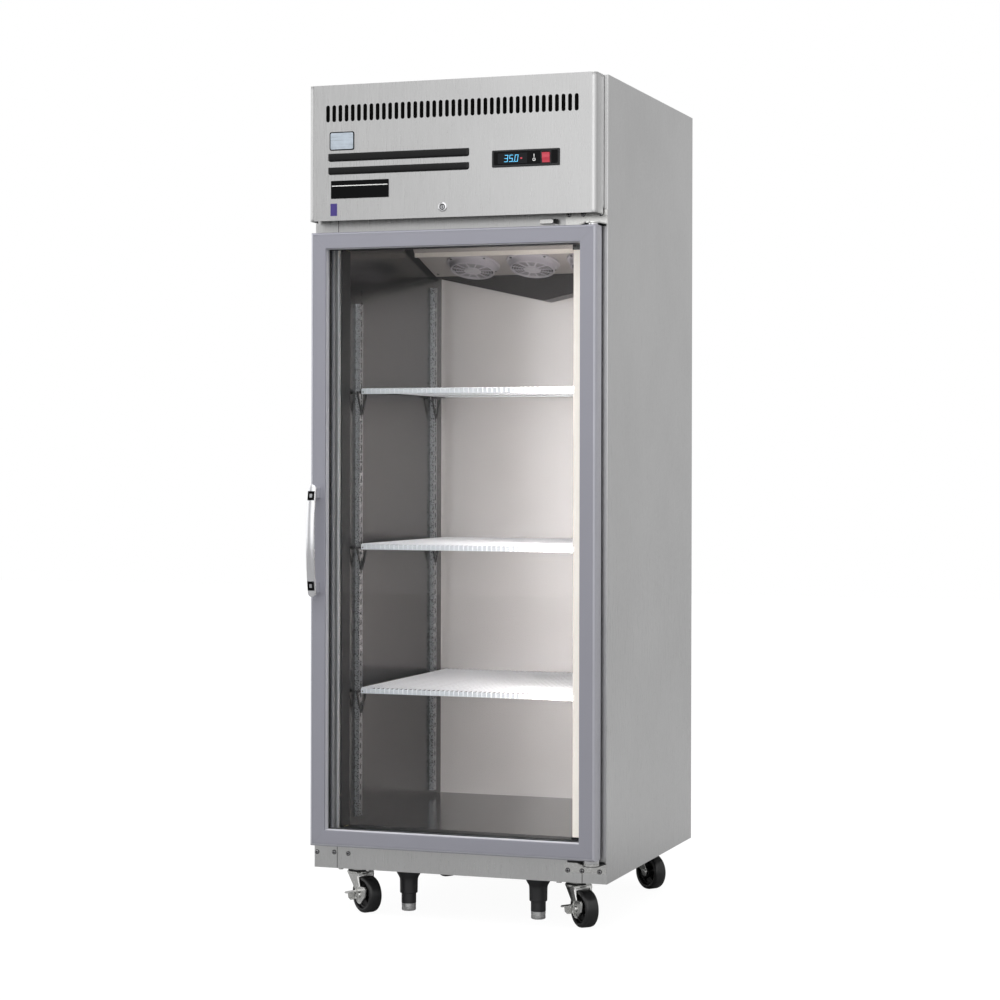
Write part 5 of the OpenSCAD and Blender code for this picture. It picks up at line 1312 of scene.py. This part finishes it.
@dataclass
class Evaporator(Assembly):
    """Cover under the ceiling with its fans behind slotted guards, and the drain pan."""

    ring_r: float = 56.0
    flange_r: float = 70.0
    hub_r: float = 20.5
    drop: float = 22.0
    bars: tuple[float, ...] = (49.0, 42.3, 35.6, 28.9, 22.2)
    lip_in: Pair = (38.0, -37.0)
    face_run: Pair = (160.0, -50.0)
    screw_in: float = 14.0
    screw_shares: Pair = (0.12, 0.88)
    slope: Vector = field(init=False)
    middle: Vector = field(init=False)

    def build(self) -> None:
        """Builds and dresses the evaporator."""
        f = self.finishes
        dress(f.cover_paint, "evaporator_cover")
        # The drain pan is painted dark as shade.
        dress(f.pan_shade_paint, "drain_pan")
        dress(f.fins, "evaporator_coil")
        dress(f.black_paint, "fan_motors")
        dress(f.black_plastic, "evap_fan_left", "evap_fan_middle", "evap_fan_right")
        low, high = self.box("fan_guards")
        pitch = (high.x - low.x) / 2 - self.flange_r
        cover = self.box("evaporator_cover")
        lip = Vector((cover[0].y, cover[1].z)) + Vector(self.lip_in)
        rear = lip + Vector(self.face_run)
        self.slope = (rear - lip).normalized()
        self.middle = (lip + rear) / 2
        for i, x in enumerate((-pitch, 0.0, pitch)):
            self.guard(x, i)
        # The lip is drawn in the paler copy of the cover's paint, a painted highlight.
        edge = self.shape("cover_lip")
        y, z = lip.x, lip.y
        edge.along_x([(y - 1.0, z + 1.2), (y + 0.5, z - 0.4), (y + 0.5, z - 10.5), (y + 1.2, z - 11.3),
                      (y + 8.0, z - 11.3), (y + 8.0, z - 10.0), (y + 2.0, z - 10.0), (y + 2.0, z - 1.4)],
                     cover[0].x + 1, cover[1].x - 1)
        edge.place("cabinet", f.lip_highlight_paint, "painted_cover", bevel_mm=0.3)
        self.screws(cover[0].x, cover[1].x, lip, rear)

    def spot(self, x: float, r: float, turn: float, lift: float) -> Point:
        """Gives a point near a fan from polar figures on the sloped face.

        Args:
            x: The fan's place across the cabinet.
            r: Distance from the fan's axis.
            turn: Angle round the axis, in radians.
            lift: Distance up from the face along the axis.

        Returns:
            The point in cabinet millimetres.
        """
        along = r * math.sin(turn)
        y = self.middle.x + along * self.slope.x - lift * self.slope.y
        z = self.middle.y + along * self.slope.y + lift * self.slope.x
        return (x + r * math.cos(turn), y, z)

    @staticmethod
    def ring(shape: Shape, profile: Outline, steps: int = 56) -> None:
        """Turns a closed profile of radius and lift round the axis of a shape in polar figures."""
        shape.loft([[(r, a, lift) for r, lift in profile] for a in full_turn(steps)], closed=True)

    def guard(self, x: float, number: int) -> None:
        """Builds one guard: a domed collar and a grille of rings on spokes.

        Args:
            x: The fan's place across the cabinet.
            number: Number of the fan, from the left.
        """

        def polar(r: float, turn: float, lift: float) -> Point:
            """Gives a point from polar figures round this fan's axis."""
            return self.spot(x, r, turn, lift)

        r, d, hub = self.ring_r, self.drop, self.hub_r
        shape = self.shape(f"guard_{number}", polar)
        outer = [(self.flange_r, -0.4), (self.flange_r, -2.6), (self.flange_r - 1.2, -4.0)]
        outer += [(r + 3 + 6 * (1 - math.sin(a)), -4.0 - (d - 8) * (1 - math.cos(a)))
                  for a in [math.radians(90 * i / 5) for i in range(6)]]
        outer += [(r + 2.6, -d + 1.6), (r + 1.2, -d), (r - 1.0, -d), (r - 1.6, -d + 1.8), (r - 1.6, -0.4)]
        self.ring(shape, outer)
        for mid in self.bars:
            sink = 1.2 * (1 - mid / r)
            self.ring(shape, [(mid + 1.2, -d + 1.3 - sink), (mid + 0.9, -d + 0.5 - sink),
                              (mid - 0.9, -d + 0.5 - sink), (mid - 1.2, -d + 1.3 - sink)], 48)
        shade = self.shape(f"guard_shade_{number}", polar)
        shade.loft([[(r - 2.2, a, -d + lift) for a in full_turn(40)] for lift in (4.2, 4.8)])
        shade.place("cabinet", self.finishes.black_fleece_and_painted_shade, "fan_plastic")
        shape.loft([[(radius, a, -d + lift) for a in full_turn(32)]
                    for radius, lift in ((hub, 3), (hub, -0.6), (hub - 3, -1.6))])
        for a in full_turn(12):
            shape.loft([[(radius, a + side * 1.2 / around, -d + lift) for radius, around, side in
                         ((hub - 1, hub - 1, -1), (hub - 1, hub - 1, 1), (r - 1.2, r, 1), (r - 1.2, r, -1))]
                        for lift in (0.6, 2.4)])
        shape.place("cabinet", self.finishes.grey_plastic, "grey_plastic",
                    ["fan_guards"] if number == 0 else (), angle=40)
        heads = self.shape(f"guard_screws_{number}")
        other = Vector((0, self.slope.x, self.slope.y))
        for quarter in full_turn(4):
            centres = [Vector(polar(self.flange_r - 5.0, quarter + math.pi / 4, lift))
                       for lift in (-3.9, -5.2, -6.0, -6.1)]
            heads.loft([[tuple(centre + Vector((a, 0, 0)) + other * b) for a, b in circle(radius, 12)]
                        for centre, radius in zip(centres, (3.4, 3.4, 2.0, 0.4))])
        heads.place("cabinet", self.finishes.black_paint, "motor_steel")

    def screws(self, x0: float, x1: float, lip: Vector, rear: Vector) -> None:
        """Adds the screws that hold the cover near its ends.

        Args:
            x0: Left end of the cover.
            x1: Right end of the cover.
            lip: Front edge of the sloped face, as y and z.
            rear: Rear edge of the sloped face.
        """
        shape = self.shape("cover_screws")
        for x in (x0 + self.screw_in, x1 - self.screw_in):
            for share in self.screw_shares:
                spot = lip.lerp(rear, share)
                base = Vector((x, spot.x + self.slope.y * 0.2, spot.y - self.slope.x * 0.2))
                down = Vector((0, self.slope.y, -self.slope.x))
                shape.lathe([(4.2, 0), (4.2, 0.9), (2.6, 2.2), (0.3, 2.4)], tuple(base), tuple(down), 16)
        shape.place("cabinet", self.finishes.zinc, "zinc_steel")


@dataclass
class Machine(Assembly):
    """Refrigeration machine on the deck."""

    def build(self) -> None:
        """Dresses the machine's pieces."""
        f = self.finishes
        dress(f.enamel, "compressor")
        dress(f.fins, "condenser_coil")
        dress(f.black_paint, "fan_shroud")
        dress(f.black_plastic, "condenser_fan")
        dress(f.copper, "refrigerant_pipes")
        dress(f.leg_plastic, "control_box")


@dataclass
class Undercarriage(Assembly):
    """Casters with brakes and the two levelling legs."""

    turns: tuple[float, float, float, float] = (-126.0, -135.0, -126.0, -126.0)
    trail: float = 35.0
    wheel_r: float = 44.5
    wheel_half: float = 17.5
    spokes: int = 5
    spoke_start: float = 0.3
    inner: float = 18.5
    plate: float = 3.0
    lip_y: float = -7.0
    nut_r: float = 7.5
    axle_r: float = 4.9
    brake_thick: float = 3.8
    brake_gap: float = 0.4
    cam_middle: Pair = (7.0, 1.0)

    def build(self) -> None:
        """Builds and dresses the casters and legs."""
        dress(self.finishes.zinc, "caster_plates")
        names = ("front_left", "front_right", "rear_left", "rear_right")
        for place, turn in zip(names, self.turns):
            self.caster(place, math.radians(turn))
        for side in ("left", "right"):
            self.leg(side)

    def local(self, place: str, turn: float) -> tuple[Vector, Vector, Vector]:
        """Gives where a caster's wheel stands and points.

        Args:
            place: Where the caster stands.
            turn: Its turn about the upright axis, in radians.

        Returns:
            The axle's centre, the direction of the axle and the way that the wheel trails.
        """
        low, high = self.box(f"wheel_{place}")
        axle = Vector((math.cos(turn), math.sin(turn), 0))
        ahead = Vector((-math.sin(turn), math.cos(turn), 0))
        return (low + high) / 2, axle, ahead

    def caster(self, place: str, turn: float) -> None:
        """Builds the wheel, the fork and the brake of one caster.

        Args:
            place: Where the caster stands.
            turn: Its turn about the upright axis, in radians.
        """
        centre, axle, ahead = self.local(place, turn)
        up = Vector((0, 0, 1))
        f, r, w = self.finishes, self.wheel_r, self.wheel_half

        def point(x: float, y: float, z: float) -> Point:
            """Gives a point from distances along the axle, the trail and upwards."""
            return tuple(centre + axle * x + ahead * y + up * z)

        tread = self.shape(f"tread_{place}", point)
        self.turned(tread, [(33.5, -w + 3.0), (34.5, -w + 1.0), (37.5, -w + 0.2), (41.0, -w + 1.2),
                            (43.4, -w + 3.6), (r - 0.1, -w + 7.5), (r, 0.0), (r - 0.1, w - 7.5),
                            (43.4, w - 3.6), (41.0, w - 1.2), (37.5, w - 0.2), (34.5, w - 1.0),
                            (33.5, w - 3.0), (32.6, w - 6.0), (32.6, -w + 6.0)], 72)
        tread.place(f"roller_{place}", f.tyre, "wheel_tread", [f"wheel_{place}"], angle=35)
        rim = self.shape(f"rim_{place}", point)
        half_hub = [(32.5, 8.0), (30.0, 7.0), (29.0, 4.2), (15.0, 3.4), (13.2, 6.0), (12.6, 17.0),
                    (11.6, 17.8), (7.6, 17.8)]
        self.turned(rim, half_hub + [(radius, -x) for radius, x in reversed(half_hub)], 56)
        for start in full_turn(self.spokes):
            a = start + self.spoke_start
            for side in (-1, 1):
                rows = []
                for radius, half, deep in ((12.5, 2.2, 11.0), (22, 1.8, 7.5), (30.5, 1.8, 6.8)):
                    y, z = radius * math.cos(a), radius * math.sin(a)
                    ny, nz = -math.sin(a) * half, math.cos(a) * half
                    rows.append([(side * x, y + ny * s, z + nz * s) for x, s in
                                 ((3.0, -1), (3.0, 1), (deep, 0.7), (deep, -0.7))])
                rim.loft(rows)
        rim.place(f"roller_{place}", f.rim, "wheel_tread", angle=35)
        self.fork(place, point, place.startswith("front"))
        if place.startswith("front"):
            self.brake(place.split("_")[1], point)

    @staticmethod
    def turned(shape: Shape, profile: Outline, steps: int) -> None:
        """Turns a closed profile of radius and place on the axle into a ring."""
        shape.loft([[(x, -y, z) for y, z in circle(radius, steps)] for radius, x in profile], closed=True)

    @staticmethod
    def rod(shape: Shape, levels: Outline, steps: int = 24) -> None:
        """Stacks round levels of place and radius on the axle."""
        shape.loft([[(x, y, z) for y, z in circle(radius, steps)] for x, radius in levels])

    def disc(self, shape: Shape, levels: Outline, steps: int = 40) -> None:
        """Stacks round levels of radius and height on the swivel axis."""
        shape.loft([[(x, y - self.trail, height) for x, y in circle(radius, steps)]
                    for radius, height in levels])

    def fork(self, place: str, point: Spot, braked: bool) -> None:
        """Builds a pressed fork: crown, two bulged side plates with turned edges, and the axle.

        Args:
            place: Where the caster stands.
            point: Gives a point from distances along axle, trail and height.
            braked: Whether the axle also carries a brake.
        """
        shape = self.shape(f"yoke_{place}", point)
        wheel_low, wheel_high = self.box(f"wheel_{place}")
        top = self.box(f"fork_{place}")[1].z - (wheel_low.z + wheel_high.z) / 2
        y0, y1, outer = -self.trail, self.lip_y, self.inner + self.plate
        self.disc(shape, [(26, top - 1.9), (29.4, top - 2.8), (30.3, top - 5), (29, top - 8.5),
                          (10, top - 9.2)])
        self.disc(shape, [(9, top - 9), (9, top - 12.0), (6.5, top - 12.4)], 6)
        under = top - 9.5
        for side in (-1, 1):
            rows = []
            for share in [i / 12 for i in range(13)]:
                z = under + 3 - share * (under + 3)
                back = (y0 - 23) * (1 - share) ** 0.9 + (-10.0) * (1 - (1 - share) ** 0.9)
                front = y1 + (10.0 - y1) * min(1.0, share * 1.1) ** 1.6
                ridge = back + (front - back) * 0.58
                bulge = 5.5 * (1 - share) ** 1.2
                rows.append([(side * (x + bulge * out), y, z) for x, out, y in
                             ((self.inner, 0.0, back), (self.inner, 0.0, front), (outer, 0.0, front),
                              (outer, 0.55, front - 1.2), (outer, 1.0, ridge + 1.5),
                              (outer, 0.75, ridge - 1.5), (outer, 0.2, back + 1.5), (outer, 0.0, back))])
            shape.loft(rows)
            shape.along_x(arc(0, 0, 10.0, 180, 360, 14), *sorted((side * self.inner, side * outer)))
        shape.along_x([(y1 - 14, top - 2.6), (y1 - 3.5, top - 2.6), (y1 - 1.2, top - 3.6), (y1, top - 6),
                       (y1, top - 12.0), (y1 - 1.2, top - 12.4), (y1 - 2.6, top - 12.0), (y1 - 2.8, top - 7),
                       (y1 - 5, top - 5.6), (y1 - 14, top - 5.6)], -outer - 3.0, outer + 3.0)
        shape.along_x(corners(y0 - 23, under, y0 + 6, under + 3), -outer, outer)
        reach, nut = outer + (self.brake_thick if braked else 0.0), self.nut_r
        self.rod(shape, ((-outer - 3.0, nut - 1.9), (-outer - 1.8, nut), (-outer - 0.02, nut)))
        self.rod(shape, ((reach, nut), (reach + 1.8, nut), (reach + 3.0, nut - 1.9)))
        self.rod(shape, ((-outer, self.axle_r), (reach + 0.1, self.axle_r)))
        shape.place(f"caster_{place}", self.finishes.zinc, "zinc_steel", [f"fork_{place}"], bevel_mm=0.5,
                    angle=35)
        seal = self.shape(f"race_seal_{place}", point)
        self.disc(seal, ((27.5, top - 0.05), (27.5, top - 1.85)))
        seal.place(f"caster_{place}", self.finishes.black_plastic, "black_strip")

    def brake(self, side: str, point: Spot) -> None:
        """Builds the side brake: a cam plate on the axle with a tab to tread on.

        Args:
            side: Left or right.
            point: Gives a point from distances along axle, trail and height.
        """
        shape = self.shape(f"brake_{side}_plate", point)
        x0 = self.inner + self.plate + self.brake_gap
        cam = [(-11, -10), (-13, 9), (-6, 21), (28, 22), (32, 17), (29, -3), (10, -21), (0, -20)]
        mid_y, mid_z = self.cam_middle
        shape.loft([[(x0 + lift, mid_y + (y - mid_y) * by, mid_z + (z - mid_z) * by) for y, z in cam]
                    for lift, by in ((0, 1.0), (4.4, 1.0), (4.8, 0.97), (4.8, 0.93), (4.4, 0.9),
                                     (2.4, 0.88))])
        self.rod(shape, ((x0 + 2.2, 6.4), (x0 + 5.0, 6.4), (x0 + 6.2, 4.6)), 20)
        shape.along_y(((x0, -12), (x0 + 18, -12), (x0 + 24, -6), (x0 + 26, 10), (x0, 10)), -13, -10.5)
        edge = ([(x0, -13), (x0 + 30, -13)]
                + [(x0 + 30 + 8 * math.sin(t), -4 - 9 * math.cos(t))
                   for t in [math.pi * k / 10 for k in range(1, 10)]]
                + [(x0 + 30, 5), (x0, 5)])
        shape.loft([[(x, y, z - max(0.0, x - x0 - 22) * 0.12) for x, y in edge] for z in (8.6, 11.0)])
        shape.place(f"brake_{side}", self.finishes.zinc, "zinc_steel", [f"brake_lever_{side}"],
                    bevel_mm=0.5, angle=35)

    def leg(self, side: str) -> None:
        """Builds one levelling leg: a flared sleeve, the black shaft and the turned steel foot.

        Args:
            side: Left or right.
        """
        f = self.finishes
        low, high = self.box(f"foot_{side}")
        x, y = (low.x + high.x) / 2, (low.y + high.y) / 2
        sleeve = self.box("leg_sleeves")[1].z
        centre, way = (x, y, 0.0), (0, 0, 1)
        base = low.z
        shell = self.shape(f"sleeve_{side}")
        shell.lathe([(radius, sleeve - drop) for radius, drop in
                     ((18.2, 68), (20.6, 68), (21.6, 66.8), (22.0, 40), (22.4, 34), (23.4, 30), (25.6, 26),
                      (28.6, 21), (30.8, 16), (31.8, 10), (32.0, 0), (18.2, 0))], centre, way, 56)
        shell.place("cabinet", f.leg_plastic, "leg_plastic",
                    ["leg_sleeves"] if side == "left" else (), angle=30)
        shaft = self.shape(f"shaft_{side}")
        shaft.lathe([(16.5, base + 18.6), (17.6, base + 18.6), (18.0, base + 19.4), (18.0, high.z),
                     (2, high.z)], centre, way, 56)
        shaft.place(f"{side}_foot", f.leg_plastic, "leg_plastic", angle=30)
        foot = self.shape(f"steel_{side}")
        foot.lathe([(0.5, base), (15.0, base), (16.6, base + 0.8), (17.4, base + 2.2), (17.5, base + 8.6),
                    (16.9, base + 9.2), (16.9, base + 10.4), (17.5, base + 11), (17.5, base + 18.2),
                    (16.8, base + 18.9), (2, base + 18.9)], centre, way, 56)
        foot.place(f"{side}_foot", f.foot_steel, "foot_steel", [f"foot_{side}"], angle=30)


# --- Studio ---


@dataclass
class Studio:
    """Pale floor, soft light and the camera."""

    places: Places
    eye: Point = (2022.4, -5465.6, 982.2)
    yaw: float = 19.33
    roll: float = 0.123
    sensor_mm: float = 36.0
    lens_mm: float = 88.0272
    rise: float = -0.0366
    front_wall: Outline = ((-1.0, 1.4), (-0.72, 1.3), (-0.56, 0.5), (-0.44, 0.35), (-0.38, 0.6),
                           (-0.33, 1.08), (-0.28, 1.18), (-0.24, 1.0), (-0.18, 1.5), (0.1, 1.6),
                           (0.4, 1.35), (0.7, 1.0), (1.0, 0.75))
    floor_half: float = 14.0
    floor_fade: Pair = (-0.5, 1.2)
    floor_tones: tuple[str, str] = ("909090", "b8b8b8")
    floor_glow: float = 1.27
    floor_glow_share: float = 0.75
    aim: Point = (0.0, 0.0, 1.0)
    lamps: tuple[tuple[str, Point, Pair, float], ...] = (
        ("overhead", (-0.6, -1.6, 3.9), (3.0, 2.0), 60.0), ("left_bank", (-3.6, -1.0, 1.6), (1.2, 2.4), 45.0))
    cabinet_way: Point = (-0.12, 1.0, 0.0)
    cabinet_size: Pair = (0.016, 1.3)
    cabinet_watts: float = 16.0
    cabinet_tint: str = "fff5f0"
    wall_turn: Pair = (-0.15, 0.25)
    rear_wall: Outline = ((-1.0, 0.8), (0.0, 0.7), (0.35, 0.56), (1.0, 0.56))
    heights: Outline = ((-1.0, 0.6), (-0.2, 0.9), (0.0, 0.97), (0.12, 1.0), (0.2, 0.96), (0.7, 1.25),
                        (1.0, 1.3))

    def build(self) -> None:
        """Builds the studio."""
        self.camera()
        self.world()
        self.floor()
        self.lights()

    def camera(self) -> None:
        """Places the camera, level and turned to the left."""
        data = bpy.data.cameras.new("camera")
        data.sensor_width = self.sensor_mm
        data.lens = self.lens_mm
        data.shift_y = self.rise
        data.dof.use_dof = False
        data.clip_end = 100
        camera = bpy.data.objects.new("camera", data)
        camera.location = self.places.at(*self.eye)
        turn = Matrix.Rotation(math.radians(self.yaw), 3, "Z") @ Matrix.Rotation(math.pi / 2, 3, "X")
        turn = turn @ Matrix.Rotation(math.radians(self.roll), 3, "Z")
        camera.rotation_euler = turn.to_euler()
        bpy.context.scene.collection.objects.link(camera)
        bpy.context.scene.camera = camera

    def world(self) -> None:
        """Makes a soft surrounding: white to the eye, with bright and dark walls in reflections."""
        world = bpy.data.worlds.new("studio")
        bpy.context.scene.world = world
        tree = blank_tree(world)
        way = add_node(tree, "ShaderNodeTexCoord").outputs["Generated"]
        parts = add_node(tree, "ShaderNodeSeparateXYZ", {0: way})
        across, height = (add_node(tree, "ShaderNodeMapRange", {"Value": parts.outputs[axis]},
                                   {"From Min": -1.0, "From Max": 1.0}) for axis in "XZ")
        levels = []
        for source, stops in ((across, self.front_wall), (across, self.rear_wall), (height, self.heights)):
            row = add_node(tree, "ShaderNodeValToRGB", {0: source})
            bar = row.color_ramp.elements
            while len(bar) < len(stops):
                bar.new(0.5)
            for element, (place, level) in zip(bar, stops):
                element.position = (place + 1) / 2
                element.color = (level / 2, level / 2, level / 2, 1.0)
            levels.append(add_node(tree, "ShaderNodeMath", {0: row}, {1: 2.0}, operation="MULTIPLY"))
        front, rear, rise = levels
        side = add_node(tree, "ShaderNodeMapRange", {"Value": parts.outputs["Y"]},
                        {"From Min": self.wall_turn[0], "From Max": self.wall_turn[1]})
        walls = add_node(tree, "ShaderNodeMix", {0: side, 2: front, 3: rear})
        level = add_node(tree, "ShaderNodeMath", {0: walls, 1: rise}, operation="MULTIPLY")
        soft = add_node(tree, "ShaderNodeBackground", {"Strength": level}, {"Color": WHITE})
        plain = add_node(tree, "ShaderNodeBackground", inputs={"Color": WHITE, "Strength": 1.0})
        ray = add_node(tree, "ShaderNodeLightPath").outputs["Is Camera Ray"]
        mix = add_node(tree, "ShaderNodeMixShader", {0: ray, 1: soft, 2: plain})
        add_node(tree, "ShaderNodeOutputWorld", {"Surface": mix})

    def floor(self) -> None:
        """Lays the floor, white to the eye but with a soft shadow under the object."""
        data = bpy.data.meshes.new("floor")
        size = self.floor_half
        data.from_pydata([(x, y, 0) for x, y in corners(-size, -size, size, size)], [], [(0, 1, 2, 3)])
        floor = bpy.data.objects.new("floor", data)
        bpy.context.scene.collection.objects.link(floor)
        material = bpy.data.materials.new("studio_floor")
        tree = blank_tree(material)
        ray = add_node(tree, "ShaderNodeLightPath").outputs["Is Camera Ray"]
        place = add_node(tree, "ShaderNodeTexCoord").outputs["Object"]
        parts = add_node(tree, "ShaderNodeSeparateXYZ", {0: place})
        rear = add_node(tree, "ShaderNodeMapRange", {"Value": parts.outputs["Y"]},
                        {"From Min": self.floor_fade[0], "From Max": self.floor_fade[1]})
        tone = add_node(tree, "ShaderNodeMix", {0: rear},
                        {6: linear(self.floor_tones[0]), 7: linear(self.floor_tones[1])}, data_type="RGBA")
        matt = add_node(tree, "ShaderNodeBsdfDiffuse", {"Color": tone.outputs[2]})
        glow = add_node(tree, "ShaderNodeEmission", inputs={"Color": WHITE, "Strength": self.floor_glow})
        share = add_node(tree, "ShaderNodeMath", {0: ray}, {1: self.floor_glow_share}, operation="MULTIPLY")
        mix = add_node(tree, "ShaderNodeMixShader", {0: share, 1: matt, 2: glow})
        add_node(tree, "ShaderNodeOutputMaterial", {"Surface": mix})
        data.materials.append(material)

    def lights(self) -> None:
        """Hangs a large soft lamp overhead, one at the left, and the light of the cabinet's own lamp."""
        for name, place, size, power in self.lamps:
            self.area(name, Vector(place), Vector(self.aim), size, power)
        low, high = self.places.box("lamp_diffuser")
        start = self.places.at(low.x - 3, (low.y + high.y) / 2, (low.z + high.z) / 2)
        self.area("cabinet_lamp", start, start + Vector(self.cabinet_way), self.cabinet_size,
                  self.cabinet_watts, self.cabinet_tint)

    @staticmethod
    def area(name: str, place: Vector, aim: Vector, size: Pair, power: float,
             colour: str = "ffffff") -> None:
        """Hangs one rectangular lamp.

        Args:
            name: Its name.
            place: Where it hangs, in metres.
            aim: The point that it faces.
            size: Its two sides.
            power: Its power in watts.
            colour: Its colour.
        """
        data = bpy.data.lights.new(name, "AREA")
        data.shape = "RECTANGLE"
        data.size, data.size_y = size
        data.energy = power
        data.color = linear(colour)[:3]
        lamp = bpy.data.objects.new(name, data)
        lamp.location = place
        lamp.rotation_euler = (aim - place).to_track_quat("-Z", "Y").to_euler()
        lamp.visible_camera = False
        lamp.visible_glossy = False
        bpy.context.scene.collection.objects.link(lamp)


def main() -> None:
    """Builds the classes in order."""
    logging.basicConfig(level=logging.INFO)
    bpy.context.scene.view_settings.view_transform = "Standard"
    places = Places()
    finishes = Finishes(places)
    Studio(places).build()
    for part in (Cabinet, Hood, Door, Inside, Evaporator, Machine, Undercarriage):
        part(places, finishes).build()
        LOG.info("%s done", part.__name__)


if __name__ == "__main__":
    main()
